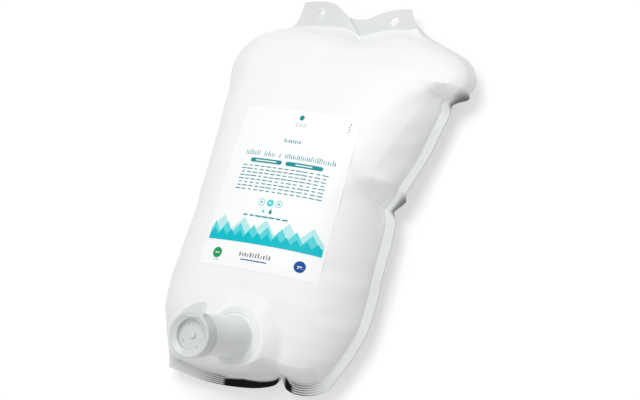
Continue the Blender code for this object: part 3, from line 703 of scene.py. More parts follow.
    def eased(self, count: int, ease: float) -> Grid:
        """Give shares from 0 to 1 that crowd towards both ends."""
        even = np.linspace(0.0, 1.0, count + 1)
        return (1 - ease) * even + ease * (0.5 - 0.5 * np.cos(math.pi * even))

    def inset_side(self, curve: Grid, width: Grid, start: Grid, end: Grid) -> Grid:
        """Offset a side inwards by the seam's width, blended to the inner corners.

        Args:
            curve: the side's outer points, from the bottom up.
            width: the seam's width; positive moves to the right of the run.
            start: the inner corner at the bottom.
            end: the inner corner at the top.

        Returns:
            The inner points, as many as the outer ones.
        """
        tangent = relaxed(np.gradient(curve, axis=0), self.tangent_smoothing * self.refine**2)
        tangent /= np.linalg.norm(tangent, axis=1)[:, None]
        inner = curve + np.stack([tangent[:, 1], -tangent[:, 0]], axis=1) * width
        share = np.linspace(0.0, 1.0, len(curve))[:, None]
        low = np.clip(1 - share / self.corner_share, 0, 1) ** 2
        high = np.clip(1 - (1 - share) / self.corner_share, 0, 1) ** 2
        return inner + low * (start - inner[0]) + high * (end - inner[-1])

    def patch(self, sides: tuple[Grid, Grid, Grid, Grid], across: Grid, along: Grid) -> Grid:
        """Fill the four inner sides with a grid of places.

        Args:
            sides: left, right, bottom and top.
            across: shares from left to right.
            along: shares from bottom to top.

        Returns:
            An array of rows by columns by 2.
        """
        u = across[None, :, None]
        v = along[:, None, None]
        left, right, bottom, top = sides
        corners = ((1 - u) * (1 - v) * bottom[0] + u * (1 - v) * bottom[-1]
                   + (1 - u) * v * top[0] + u * v * top[-1])
        broad = [relaxed(side, self.notch_smoothing * self.refine**2) for side in sides]
        grid = ((1 - u) * broad[0][:, None] + u * broad[1][:, None]
                + (1 - v) * broad[2][None] + v * broad[3][None] - corners)
        grid += (1 - u) ** self.notch_fade * (left - broad[0])[:, None]
        # The right side's notches run on into the body as folds that climb away from the seam
        climb = np.clip(along[:, None] - self.notch_climb * (1 - across[None, :]), 0, 1)
        dent = np.stack([np.interp(climb, along, (right - broad[1])[:, axis]) for axis in (0, 1)], -1)
        grid += u ** self.notch_fade * dent
        grid += (1 - v) ** self.notch_fade * (bottom - broad[2])[None]
        grid += v ** self.notch_fade * (top - broad[3])[None]
        return grid

    def outline(self) -> tuple[Grid, Grid, tuple, tuple]:
        """Work out the shares across and along, the four outer sides and the four inner sides."""
        across = self.eased(self.columns * self.refine, self.crowding[0])
        along = self.eased(self.rows * self.refine, self.crowding[1])
        left = self.at_shares(self.side_curve(self.left_side), along)
        right = self.at_shares(self.side_curve(self.right_side), along)
        top = self.at_shares(self.side_curve(self.top_side), across)
        bottom = self.at_shares(self.side_curve(self.bottom_side), across)
        in_top = self.at_shares(self.side_curve(self.inner_top), across)
        in_bottom = self.at_shares(self.side_curve(self.inner_bottom), across)
        tuck = ramp(left[:, 1], self.left_narrowing)[:, None]
        left_width = self.left_seam_width + (self.tucked_seam_width - self.left_seam_width) * tuck
        tuck = ramp(right[:, 1], self.right_narrowing)[:, None]
        right_width = self.side_seam_width + (self.tucked_seam_width - self.side_seam_width) * tuck
        in_left = self.inset_side(left, left_width, in_bottom[0], in_top[0])
        in_right = self.inset_side(right, -right_width, in_bottom[-1], in_top[-1])
        return across, along, (left, right, bottom, top), (in_left, in_right, in_bottom, in_top)

    def ear_fold(self, x: Grid, y: Grid) -> Grid:
        """Height of the fold between the ears: the left ear lies in front of the right one's root."""
        ahead, side, length = from_line(x, y, *self.fold_line)
        strength = tapered(ahead / length, *self.fold_taper)
        front = smooth_step(0.5 - side / self.fold_edge) * np.exp(-np.abs(side) / self.fold_front_reach)
        behind = smooth_step(0.5 + side / self.fold_edge) * np.exp(-np.abs(side) / self.fold_back_reach)
        return strength * (self.fold_rise * front - self.fold_sink * behind)

    def lobe_curl(self, x: Grid, y: Grid) -> Grid:
        """Share, 0 to 1, by which the film turns under at the lower end of each lobe."""
        curl = np.zeros_like(x)
        for start, end in self.lobe_ends:
            ahead, side, length = from_line(x, y, start, end)
            window = tapered(ahead / length, *self.lobe_taper)
            curl = np.maximum(curl, window * smooth_step(1 + side / self.lobe_width))
        return curl

    def tucked(self, x: Grid, y: Grid) -> Grid:
        """Share, 0 to 1, by which the seam is tucked under the bulge: left side and shoulder."""
        left = ramp(-x, self.left_tuck_spans[0]) * ramp(y, self.left_tuck_spans[1])
        shoulder = ramp(x, self.shoulder_tuck_spans[0]) * ramp(y, self.shoulder_tuck_spans[1])
        return np.maximum(left, shoulder)

    def seam_lift(self, x: Grid, y: Grid) -> Grid:
        """Height of the seam over its plane: drooping edges, curling ears and a slight waviness."""
        left = ramp(-x, self.left_droop_spans[0]) * ramp(y, self.left_droop_spans[1])
        shoulder = ramp(x, self.shoulder_spans[0]) * ramp(y, self.shoulder_spans[1])
        weld = ramp(-y, self.weld_span)
        lift = -self.left_seam_droop * left + self.shoulder_lift * shoulder - self.weld_droop * weld
        lift = lift + self.ear_curl * ramp(y, self.ear_span) * np.cos(x / self.ear_curl_run)
        wave = self.edge_wave.at(y) * ramp(np.abs(x), self.wave_span)
        weld_wave = self.weld_wave.at(x) * weld
        ridge, _ = self.buckle_heights(x, y)
        curl = self.lobe_curl(x, y)
        lift = lift + ridge * (1 - curl) - self.lobe_drop * curl
        return lift + wave + weld_wave + self.ear_fold(x, y) * ramp(y, self.fold_span)

    def buckle_heights(self, x: Grid, y: Grid) -> tuple[Grid, Grid]:
        """Heights of the buckles' ridges and depths of their hollows, with a flat facet in between."""
        ridge = np.zeros_like(x)
        hollow = np.zeros_like(x)
        for buckle in self.buckles:
            ahead, right, length = from_line(x, y, buckle.tip, buckle.notch)
            side = -right
            width = np.maximum(ahead, 0.0) * math.tan(buckle.opening) + self.buckle_edge
            ramped = np.clip(side / width, 0.0, 1.0)
            ramped = self.facet_flatness * ramped + (1 - self.facet_flatness) * smooth_step(ramped)
            strength = (buckle.step * smooth_step(ahead / (self.buckle_onset * length))
                        * smooth_step(self.buckle_end - ahead / length))
            ridge += strength * ramped * np.exp(-np.maximum(side - width, 0.0) / buckle.reach)
            below = np.exp(-np.maximum(-side, 0.0) / (buckle.reach * self.hollow_reach))
            hollow += self.buckle_hollow * strength * (1 - ramped) * below
        return ridge, hollow

    def crease_lift(self, x: Grid, y: Grid) -> Grid:
        """Height of the small creases near the seams."""
        lift = np.zeros_like(x)
        for crease in self.creases:
            ahead, side, length = from_line(x, y, crease.start, crease.end)
            taper = tapered(ahead / length, *self.crease_taper)
            away = side / crease.width
            shoulder = self.crease_shoulder * np.exp(-((away - self.crease_shoulder_place) ** 2))
            lift = lift + crease.depth * taper * (shoulder - np.exp(-np.abs(away)))
        return lift

    def gathers(self, x: Grid, y: Grid, across: Grid, along: Grid) -> Grid:
        """Height of the fine gathers that leave the seams and of the broad softness of the film.

        Args:
            x: grid of x places.
            y: grid of y places.
            across: shares from left to right.
            along: shares from bottom to top.

        Returns:
            A grid of heights.
        """
        u = across[None, :]
        w = along[:, None]
        from_side = np.minimum(u, 1 - u)
        sides = self.side_gather.heights(w, np.sin(self.side_sway * u), from_side)
        top = self.top_gather.heights(u, 1 - w, 1 - w)
        bottom = self.weld_gather.heights(u, -w, w)
        first, second, third, fourth = self.softness_waves
        broad = self.softness * (np.sin(x / first + self.softness_sway * np.sin(y / second))
                                 * np.sin(y / third + self.softness_start + x / fourth))
        return sides + top + bottom + broad * smooth_step(from_side / self.softness_edge)

    def land(self, x: Grid, y: Grid, z: Grid) -> Grid:
        """Ease the front into the flat land under the spout's flange."""
        axis = self.spout.axis()
        foot = self.spout.foot() - axis * self.seat_gap
        plane = foot.z - ((x - foot.x) * axis.x + (y - foot.y) * axis.y) / axis.z
        away = np.hypot(x - foot.x, (y - foot.y) / axis.z)
        blend = 1 - smooth_step((away - self.flange_radius - self.land_margin) / self.land_blend)
        angle = np.arctan2(y - foot.y, x - foot.x)
        ring = np.exp(-(((away - self.flange_radius - self.pull_distance) / self.pull_width) ** 2))
        pull = self.pull_height * ring * wander((angle / (2 * math.pi)) + 0.5, 22, 21)
        return z + (plane - z) * blend + pull

    def heights(self, x: Grid, y: Grid, across: Grid, along: Grid) -> tuple[Grid, Grid]:
        """Front and back heights of the filled body.

        Args:
            x: grid of x places.
            y: grid of y places.
            across: shares from left to right.
            along: shares from bottom to top.

        Returns:
            Two grids of heights, front and back.
        """
        u = (2 * across - 1)[None, :]
        w = along[:, None]
        table = np.array(self.crest_profile)
        crest = self.crest * np.interp(w, table[:, 0], table[:, 1])
        rise = crest * np.sqrt(np.clip(1 - np.abs(u) ** self.front_roundness, 0, 1))
        seam = self.seam_height + self.seam_lift(x, y)
        _, hollow = self.buckle_heights(x, y)
        folds = self.crease_lift(x, y) + self.gathers(x, y, across, along) - hollow
        front = seam + self.seam_thickness / 2 + rise + folds * np.minimum(1.0, rise / self.fold_fade)
        over = np.clip(1 - np.abs(u) ** self.back_roundness, 0, 1) ** self.back_softness
        down = np.clip(1 - np.abs(2 * w - 1) ** self.back_end_roundness, 0, 1) ** self.back_softness
        sink = np.clip(self.back_flattening * over * down, 0, 1)
        ripple = self.gathers(x, y, across, along) * sink * (1 - sink) * self.ripple_gain
        ripple = np.maximum(ripple, -(1 - sink) * self.ripple_limit)
        back = (seam - self.seam_thickness / 2) * (1 - sink) + ripple
        edge = (np.abs(u) >= 1) | (w <= 0) | (w >= 1)
        front = np.where(edge, seam + self.seam_thickness / 2, self.land(x, y, front))
        back = np.where(edge, seam - self.seam_thickness / 2, np.maximum(back, 0.0))
        return front, back


@dataclass(frozen=True)
class PaintedShadeStretch:
    """A stretch of the bottom weld that turns under, where shade is painted nearly black, with painted
    streaks of shade at one end.
    """

    start: float
    end: float
    streak_end: float
    fullest: float


@dataclass
class FilmPouch:
    """The filled pouch as one closed film surface with its welded rim, ears and punched holes."""

    form: PouchForm = field(default_factory=PouchForm)
    seam_loops: int = 9
    edge_thinning: float = 0.35
    sharp_angle: float = 50.0
    dark_fade: float = 3.0
    streak_fade: float = 0.25
    streak_strength: float = 0.85
    bare_least: float = 0.08
    bare_spread: float = 0.55
    bare_fade: float = 0.15
    dark_from: float = 140.0
    bare_ends: int = 6
    painted_fold_shade: float = 0.78
    tuck_tone: float = 0.8
    hole_radius: float = 3.5 * MM
    hole_centres: tuple = ((-31.0 * MM, 156.5 * MM), (38.0 * MM, 157.0 * MM))
    painted_shade_stretches: tuple[PaintedShadeStretch, ...] = (PaintedShadeStretch(-34.0, 21.0, -64.0, -14.0),
                                               PaintedShadeStretch(23.0, 34.0, 64.0, 26.0))

    def ring_of(self, sides: tuple) -> Grid:
        """Walk round the four sides as one closed loop."""
        left, right, bottom, top = sides
        return np.vstack([bottom[:-1], right[:-1], top[::-1][:-1], left[::-1][:-1]])

    def border(self, rows: int, columns: int) -> list[tuple[int, int]]:
        """List the grid's border in the same order as the rings."""
        return ([(0, i) for i in range(columns - 1)] + [(j, columns - 1) for j in range(rows - 1)]
                + [(rows - 1, i) for i in range(columns - 1, 0, -1)]
                + [(j, 0) for j in range(rows - 1, 0, -1)])

    def painted_weld_shade(self, x: Grid, y: Grid, share: Grid) -> tuple[Grid, Grid]:
        """Work out where shade is painted nearly black on the glossy bottom weld.

        Args:
            x: places across the bag.
            y: places along the bag.
            share: places across the weld, 0 at its inner edge and 1 at its outer edge.

        Returns:
            How much painted shade the weld gets, and how strong its painted streaks of shade are, both 0 to
            1.
        """
        dark = np.zeros_like(x)
        streaks = np.zeros_like(x)
        place = x / MM
        for stretch in self.painted_shade_stretches:
            inside = (smooth_step((place - stretch.start) / self.dark_fade)
                      * smooth_step((stretch.end - place) / self.dark_fade))
            off_fullest = np.abs(place - stretch.fullest) / (stretch.end - stretch.start)
            bare = self.bare_least + self.bare_spread * off_fullest
            core = inside * smooth_step((share - bare) / self.bare_fade)
            near = stretch.start if stretch.streak_end < stretch.start else stretch.end
            away = (place - near) / (stretch.streak_end - near)
            fade = (1 - smooth_step(away)) * smooth_step((away + self.streak_fade) / self.streak_fade)
            dark = np.maximum(dark, core)
            streaks = np.maximum(streaks, self.streak_strength * fade)
        weld = smooth_step((-y / MM - self.dark_from) / self.dark_fade)
        return dark * weld, streaks * weld

    def build(self) -> bpy.types.Object:
        """Build the pouch's mesh, punch its holes and return the object."""
        across, along, outer, inner = self.form.outline()
        grid = self.form.patch(inner, across, along)
        x, y = grid[..., 0], grid[..., 1]
        front, back = self.form.heights(x, y, across, along)
        rows, columns = x.shape
        count = rows * columns
        verts = [np.stack([x.ravel(), y.ravel(), front.ravel()], 1),
                 np.stack([x.ravel(), y.ravel(), back.ravel()], 1)]
        tone = [np.zeros(count), np.zeros(count)]
        streak = [np.zeros(2 * count)]
        across_weld = [np.zeros(2 * count)]
        # Painted shade: the film's front is darkened where it turns under at each lobe's lower end
        dark = [self.painted_fold_shade * self.form.lobe_curl(x, y).ravel(), np.zeros(count)]
        number, quads = grid_quads(rows, columns)
        faces = [quads, quads[:, ::-1] + count]
        border = np.array([number[j, i] for j, i in self.border(rows, columns)])
        inner_ring, outer_ring = self.ring_of(inner), self.ring_of(outer)
        size = len(border)
        after = np.roll(np.arange(size), -1)
        last = {0: border, 1: border + count}
        start = 2 * count
        for loop in range(1, self.seam_loops + 1):
            share = loop / self.seam_loops
            places = inner_ring + (outer_ring - inner_ring) * share
            seam = self.form.seam_height + self.form.seam_lift(places[:, 0], places[:, 1])
            tuck = self.form.tucked(outer_ring[:, 0], outer_ring[:, 1])
            seam = seam - self.form.tuck_drop * tuck * share
            for face, side in ((0, 0.5), (1, -0.5)):
                thin = self.form.seam_thickness * (1 - self.edge_thinning * share)
                verts.append(np.column_stack([places, seam + side * thin]))
                tone.append(1.0 - self.tuck_tone * tuck)
                # Painted shade on the seam's upper side: the weld's black stretches and streaks, and the
                # turned-under lobe ends
                weld, lines = self.painted_weld_shade(places[:, 0], places[:, 1], np.full(size, share))
                streak.append(lines * (1 - face))
                across_weld.append(np.full(size, share))
                turned = self.painted_fold_shade * self.form.lobe_curl(places[:, 0], places[:, 1])
                dark.append(np.maximum(weld, turned) if face == 0 else np.zeros(size))
                ring = np.arange(start, start + size)
                start += size
                old = last[face]
                quad = np.stack([old[after], old, ring, ring[after]], 1)
                faces.append(quad if face == 0 else quad[:, ::-1])
                last[face] = ring
        faces.append(np.stack([last[0][after], last[0], last[1], last[1][after]], 1))
        data = bpy.data.meshes.new("film_pouch")
        data.from_pydata(np.vstack(verts).tolist(), [], np.vstack(faces).tolist())
        data.update()
        obj = link_new("film_pouch_tool", data)
        for name, values in (("tone", tone), ("painted_shade", dark), ("painted_shade_streak", streak),
                             ("weld_share", across_weld)):
            write_values(data, name, np.concatenate(values))
        data.shade_smooth()
        data.set_sharp_from_angle(angle=math.radians(self.sharp_angle))
        return self.punch(obj)

    def punch(self, obj: bpy.types.Object) -> bpy.types.Object:
        """Punch the hanging holes through the ears.

        Args:
            obj: the pouch.

        Returns:
            The punched pouch.
        """
        punches = []
        for number, (hole_x, hole_y) in enumerate(self.hole_centres):
            tool = bmesh.new()
            bmesh.ops.create_cone(tool, cap_ends=True, segments=48, radius1=self.hole_radius,
                                  radius2=self.hole_radius, depth=self.form.seam_height,
                                  matrix=Matrix.Translation((hole_x, hole_y, self.form.seam_height)))
            data = bpy.data.meshes.new("hole_punch")
            tool.to_mesh(data)
            tool.free()
            punch = link_new(f"hole_punch_{number}", data)
            boolean = obj.modifiers.new("punch", "BOOLEAN")
            boolean.operation = "DIFFERENCE"
            boolean.solver = "EXACT"
            boolean.object = punch
            punches.append(punch)
        plain = settled(obj, "film_pouch")
        for punch in punches:
            bpy.data.objects.remove(punch, do_unlink=True)
        return plain

    def weld_lines(self, count: int, inset: float) -> list[Grid]:
        """Work out lines that run along the bottom weld, side by side.

        Args:
            count: the number of lines.
            inset: the share of the weld's width left bare at each edge.

        Returns:
            One array of places for each line, on the weld's upper side.
        """
        _, _, outer, inner = self.form.outline()
        lines = []
        for k in range(count):
            share = inset + (1 - 2 * inset) * k / (count - 1)
            places = inner[2] + (outer[2] - inner[2]) * share
            seam = self.form.seam_height + self.form.seam_lift(places[:, 0], places[:, 1])
            top = seam + self.form.seam_thickness * (1 - self.edge_thinning * share) / 2
            lines.append(np.column_stack([places, top])[self.bare_ends:-self.bare_ends])
        return lines


class NodeTool:
    """Builds a Geometry Nodes tree with named inputs and runs it on a carrier mesh."""

    def __init__(self, name: str) -> None:
        """Start an empty tree with a geometry input and output."""
        self.tree = bpy.data.node_groups.new(name, "GeometryNodeTree")
        self.tree.interface.new_socket("Geometry", in_out="INPUT", socket_type="NodeSocketGeometry")
        self.tree.interface.new_socket("Geometry", in_out="OUTPUT", socket_type="NodeSocketGeometry")
        self.identifiers: dict[str, str] = {}
        self.entry = self.tree.nodes.new("NodeGroupInput")

    def add_input(self, name: str, kind: str) -> None:
        """Add a named input of a socket type."""
        socket = self.tree.interface.new_socket(name, in_out="INPUT", socket_type=kind)
        self.identifiers[name] = socket.identifier

    def node(self, kind: str, settings: dict | None = None, links: dict | None = None) -> bpy.types.Node:
        """Add a node to the tree."""
        return add_node(self.tree, kind, settings, links)

    def close(self, source: bpy.types.Node, output: str = "Geometry") -> None:
        """End the tree in Realize Instances, Set Material and the group's output."""
        real = self.node("GeometryNodeRealizeInstances", links={"Geometry": (source, output)})
        painted = self.node("GeometryNodeSetMaterial",
                            links={"Geometry": (real, 0), "Material": (self.entry, "Material")})
        self.node("NodeGroupOutput", links={0: (painted, 0)})

    def run(self, name: str, carrier: bpy.types.Mesh, values: dict) -> bpy.types.Object:
        """Run the tree on a carrier mesh.

        Args:
            name: the name of the plain mesh object that comes out.
            carrier: the mesh that goes in.
            values: the inputs' values by name.

        Returns:
            The plain mesh object.
        """
        obj = link_new(name + "_tool", carrier)
        modifier = obj.modifiers.new("nodes", "NODES")
        modifier.node_group = self.tree
        for key, value in values.items():
            modifier[self.identifiers[key]] = value
        return settled(obj, name)


class SweptRibs(NodeTool):
    """A tree that sweeps a small round section along every line of the carrier mesh."""

    def __init__(self) -> None:
        """Build the tree."""
        super().__init__("swept ribs")
        self.add_input("Radius", "NodeSocketFloat")
        self.add_input("Sides", "NodeSocketInt")
        self.add_input("Material", "NodeSocketMaterial")
        path = self.node("GeometryNodeMeshToCurve", links={"Mesh": (self.entry, "Geometry")})
        section = self.node("GeometryNodeCurvePrimitiveCircle",
                            links={"Resolution": (self.entry, "Sides"), "Radius": (self.entry, "Radius")})
        rib = self.node("GeometryNodeCurveToMesh", {"Fill Caps": True},
                        {"Curve": (path, 0), "Profile Curve": (section, 0)})
        smooth = self.node("GeometryNodeSetShadeSmooth", links={0: (rib, 0)})
        self.close(smooth)


class StampRows(NodeTool):
    """A tree that stamps flat shapes in rows, each with a random width, such as printed words."""

    def __init__(self) -> None:
        """Build the tree."""
        super().__init__("stamped rows")
        for name in ("Pitch X", "Pitch Y"):
            self.add_input(name, "NodeSocketFloat")
        for name in ("Columns", "Rows", "Seed"):
            self.add_input(name, "NodeSocketInt")
        for name in ("Smallest", "Largest"):
            self.add_input(name, "NodeSocketVector")
        self.add_input("Material", "NodeSocketMaterial")
        entry = self.entry
        minus = [self.node("ShaderNodeMath", {"operation": "SUBTRACT", 1: 1.0}, {0: (entry, axis)})
                 for axis in ("Columns", "Rows")]
        size = [self.node("ShaderNodeMath", {"operation": "MULTIPLY"}, {0: (less, 0), 1: (entry, pitch)})
                for less, pitch in zip(minus, ("Pitch X", "Pitch Y"))]
        field_grid = self.node("GeometryNodeMeshGrid",
                               links={"Size X": (size[0], 0), "Size Y": (size[1], 0),
                                      "Vertices X": (entry, "Columns"), "Vertices Y": (entry, "Rows")})
        # A circle of four corners with this radius, turned by an eighth, is a square with sides of 1
        stamp = self.node("GeometryNodeMeshCircle", {"fill_type": "NGON", "Radius": 0.70711, "Vertices": 4})
        turned = self.node("GeometryNodeTransform", {"Rotation": (0.0, 0.0, math.pi / 4)},
                           {"Geometry": (stamp, 0)})
        span = self.node("FunctionNodeRandomValue", {"data_type": "FLOAT_VECTOR"},
                         {0: (entry, "Smallest"), 1: (entry, "Largest"), "Seed": (entry, "Seed")})
        stamped = self.node("GeometryNodeInstanceOnPoints",
                            links={"Points": (field_grid, 0), "Instance": (turned, 0), "Scale": (span, 0)})
        self.close(stamped, "Instances")


class NubRing(NodeTool):
    """A tree that stands small tapered nubs on the points of the carrier mesh."""

    def __init__(self) -> None:
        """Build the tree."""
        super().__init__("nub ring")
        self.add_input("Radius", "NodeSocketFloat")
        self.add_input("Height", "NodeSocketFloat")
        self.add_input("Material", "NodeSocketMaterial")
        entry = self.entry
        tip = self.node("ShaderNodeMath", {"operation": "MULTIPLY", 1: 0.55}, {0: (entry, "Radius")})
        nub = self.node("GeometryNodeMeshCone", {"Vertices": 24},
                        {"Radius Top": (tip, 0), "Radius Bottom": (entry, "Radius"),
                         "Depth": (entry, "Height")})
        stood = self.node("GeometryNodeInstanceOnPoints",
                          links={"Points": (entry, "Geometry"), "Instance": (nub, 0)})
        self.close(stood, "Instances")


def point_mesh(name: str, points: list) -> bpy.types.Mesh:
    """Make a mesh of loose points."""
    data = bpy.data.meshes.new(name)
    data.from_pydata(points, [], [])
    return data


def line_mesh(name: str, lines: list[Grid]) -> bpy.types.Mesh:
    """Make a mesh of polylines."""
    verts, edges = [], []
    for line in lines:
        first = len(verts)
        verts += line.tolist()
        edges += [(first + k, first + k + 1) for k in range(len(line) - 1)]
    data = bpy.data.meshes.new(name)
    data.from_pydata(verts, edges, [])
    return data


@dataclass
class LabelSheet:
    """The paper label: a thin sheet that lies on the front of the pouch."""

    width: float = 107.0 * MM
    top: float = 61.0 * MM
    bottom: float = -76.0 * MM
    centre_x: float = 1.0 * MM
    gap: float = 0.10 * MM
    thickness: float = 0.14 * MM
    cell: float = 2.2 * MM
    smoothing: int = 30
    heights: Grid | None = None

    def lay(self, pouch: bpy.types.Object) -> None:
        """Drop the sheet's grid on the pouch and smooth it so that it bridges small wrinkles.

        Args:
            pouch: the film that it lies on.
        """
        tree = film_tree(pouch)
        columns = round(self.width / self.cell) + 1
        rows = round((self.top - self.bottom) / self.cell) + 1
        self.xs = np.linspace(self.centre_x - self.width / 2, self.centre_x + self.width / 2, columns)
        self.ys = np.linspace(self.bottom, self.top, rows)
        film = np.zeros((rows, columns))
        for j, y in enumerate(self.ys):
            for i, x in enumerate(self.xs):
                hit = tree.ray_cast(Vector((x, y, 0.5)), Vector((0, 0, -1)))
                film[j, i] = hit[0].z
        smooth = film.copy()
        for _ in range(self.smoothing):
            padded = np.pad(smooth, 1, mode="reflect", reflect_type="odd")
            smooth = (padded[:-2, 1:-1] + padded[2:, 1:-1] + padded[1:-1, :-2] + padded[1:-1, 2:]) / 4
            smooth = np.maximum(smooth, film)
        self.heights = smooth + self.gap

    def surface(self, x: Grid, y: Grid) -> Grid:
        """Read the height of the sheet's upper side at places.

        Args:
            x: x places.
            y: y places.

        Returns:
            Heights.
        """
        i = np.clip((x - self.xs[0]) / (self.xs[1] - self.xs[0]), 0, len(self.xs) - 1.000001)
        j = np.clip((y - self.ys[0]) / (self.ys[1] - self.ys[0]), 0, len(self.ys) - 1.000001)
        i0, j0 = i.astype(int), j.astype(int)
        fi, fj = i - i0, j - j0
        h = self.heights
        mixed = (h[j0, i0] * (1 - fi) * (1 - fj) + h[j0, i0 + 1] * fi * (1 - fj)
                 + h[j0 + 1, i0] * (1 - fi) * fj + h[j0 + 1, i0 + 1] * fi * fj)
        return mixed + self.thickness

    def build(self, pouch: bpy.types.Object) -> bpy.types.Object:
        """Lay the sheet and build its closed mesh.

        Args:
            pouch: the film that it lies on.

        Returns:
            The label.
        """
        self.lay(pouch)
        rows, columns = self.heights.shape
        x, y = np.meshgrid(self.xs, self.ys)
        count = rows * columns
        number, quads = grid_quads(rows, columns)
        upper = np.stack([x.ravel(), y.ravel(), (self.heights + self.thickness).ravel()], 1)
        lower = np.stack([x.ravel(), y.ravel(), self.heights.ravel()], 1)
        ring = np.concatenate([number[0, :-1], number[:-1, -1], number[-1, :0:-1], number[:0:-1, 0]])
        after = np.roll(ring, -1)
        sides = np.stack([ring, ring + count, after + count, after], 1)[:, ::-1]
        faces = np.vstack([quads, quads[:, ::-1] + count, sides[:, ::-1]])
        return mesh_object("label_sheet", np.vstack([upper, lower]).tolist(), faces.tolist())


@dataclass
class LabelPrint:
    """The label's generic print: bars for words, dots, pills and a band of tiered pennants."""

    sheet: LabelSheet
    lay_step: float = 3.0 * MM
    lift: float = 0.05 * MM
    film: float = 0.04 * MM
    band_half: float = 51.0
    foot_share: float = 0.45
    word_spread: tuple[float, float] = (0.62, 1.30)
    stroke_spread: tuple[float, float] = (0.8, 1.3)
    least_stroke: float = 0.55
    shapes: dict[InkColour, list] = field(default_factory=dict)

    def place(self, ink: InkColour, shape: list[tuple[float, float]], layer: int = 0) -> None:
        """Add a shape, given in millimetres from the label's middle and down from its top."""
        self.shapes.setdefault(ink, []).append((shape, layer))

    def bar(self, ink: InkColour, s: float, t: float, width: float, height: float, layer: int = 0) -> None:
        """Add an upright rectangle by its centre."""
        a, b = width / 2, height / 2
        self.place(ink, [(s - a, t + b), (s + a, t + b), (s + a, t - b), (s - a, t - b)], layer)

    def disc(self, ink: InkColour, s: float, t: float, radius: float, layer: int = 0,
             sides: int = 40) -> None:
        """Add a disc."""
        turn = [2 * math.pi * k / sides for k in range(sides)]
        self.place(ink, [(s + radius * math.cos(a), t - radius * math.sin(a)) for a in turn], layer)

    def pill(self, ink: InkColour, s: float, t: float, width: float, height: float, layer: int = 0) -> None:
        """Add a bar with round ends."""
        r = height / 2
        a = width / 2 - r
        right = [math.radians(-90 + 180 * k / 12) for k in range(13)]
        points = [(s + a + r * math.cos(q), t - r * math.sin(q)) for q in right]
        points += [(s - a - r * math.cos(q), t + r * math.sin(q)) for q in right]
        self.place(ink, points, layer)

    def drop(self, ink: InkColour, s: float, t: float, radius: float, layer: int = 0) -> None:
        """Add a plain drop with its point up."""
        turn = [math.radians(160 + 220 * k / 24) for k in range(25)]
        points = [(s + radius * math.cos(a), t - radius * math.sin(a)) for a in turn]
        points.append((s, t - radius * 2.3))
        self.place(ink, points, layer)

    def stamped(self, counts: tuple[int, int], pitch: tuple[float, float], smallest: tuple[float, float],
                largest: tuple[float, float], seed: int) -> list[list[tuple[float, float]]]:
        """Stamp rows of upright rectangles with Geometry Nodes and read their corners.

        Args:
            counts: rectangles in a row, and rows.
            pitch: spacing along and across the rows, in millimetres.
            smallest: least width and height.
            largest: greatest width and height.
            seed: the seed of the sizes.

        Returns:
            Each rectangle's corners, with the rows' middle at 0.
        """
        obj = StampRows().run("stamped_rows", point_mesh("stamped_rows", []), {
            "Pitch X": pitch[0], "Pitch Y": pitch[1], "Columns": counts[0], "Rows": counts[1], "Seed": seed,
            "Smallest": (*smallest, 1.0), "Largest": (*largest, 1.0), "Material": None})
        verts = [(v.co.x, v.co.y) for v in obj.data.vertices]
        shapes = [[verts[k] for k in face.vertices] for face in obj.data.polygons]
        bpy.data.objects.remove(obj, do_unlink=True)
        return shapes

    def words(self, ink: InkColour, s: float, t: float, columns: int, rows: int, pitch: tuple[float, float],
              size: tuple[float, float], seed: int) -> None:
        """Add rows of bars that stand for words, stamped by Geometry Nodes.

        Args:
            ink: the colour.
            s: the middle of the rows.
            t: the first row's middle.
            columns: words in a row.
            rows: number of rows.
            pitch: spacing along and down, in millimetres.
            size: mean word length and letter height, in millimetres.
            seed: the seed of the word lengths.
        """
        middle = t + pitch[1] * (rows - 1) / 2
        shortest, longest = (size[0] * share for share in self.word_spread)
        for corners in self.stamped((columns, rows), pitch, (shortest, size[1]), (longest, size[1]), seed):
            self.place(ink, [(s + a, middle - b) for a, b in corners])

    def strokes(self, ink: InkColour, s: float, base: float, count: int, pitch: float,
                size: tuple[float, float], gaps: tuple[int, ...], seed: int) -> None:
        """Add a row of upright strokes of uneven height that stand for large print.

        Args:
            ink: the colour.
            s: the middle of the row.
            base: the line that the strokes stand on, down from the label's top.
            count: number of strokes.
            pitch: their spacing.
            size: a stroke's width and its full height.
            gaps: strokes left out between words.
            seed: the seed of the heights.
        """
        thinnest, widest = (size[0] * share for share in self.stroke_spread)
        rows = self.stamped((count, 1), (pitch, 1.0), (thinnest, size[1] * self.least_stroke),
                            (widest, size[1]), seed)
        for number, corners in enumerate(rows):
            if number in gaps:
                continue
            low = min(height for _, height in corners)
            self.place(ink, [(s + a, base - (b - low)) for a, b in corners])

    def pennants(self, ink: InkColour, top: float, base: float, pitch: float, layer: int,
                 shift: float) -> None:
        """Add one tier of the band: a row of plain triangles over a solid foot.

        Args:
            ink: the colour.
            top: where the points reach, down from the label's top.
            base: where the band ends.
            pitch: spacing of the points.
            layer: tiers with a higher number lie in front.
            shift: moves the row sideways.
        """
        half = self.band_half
        valley = base - self.foot_share * (base - top)
        points = [(-half, base), (half, base), (half, valley)]
        count = int(2 * half / pitch) + 3
        peaks = []
        for k in range(count):
            centre = half + shift - k * pitch
            for s, t in ((centre, top), (centre - pitch / 2, valley)):
                if -half < s < half:
                    peaks.append((s, t))
        points += peaks + [(-half, valley)]
        self.place(ink, points, layer)

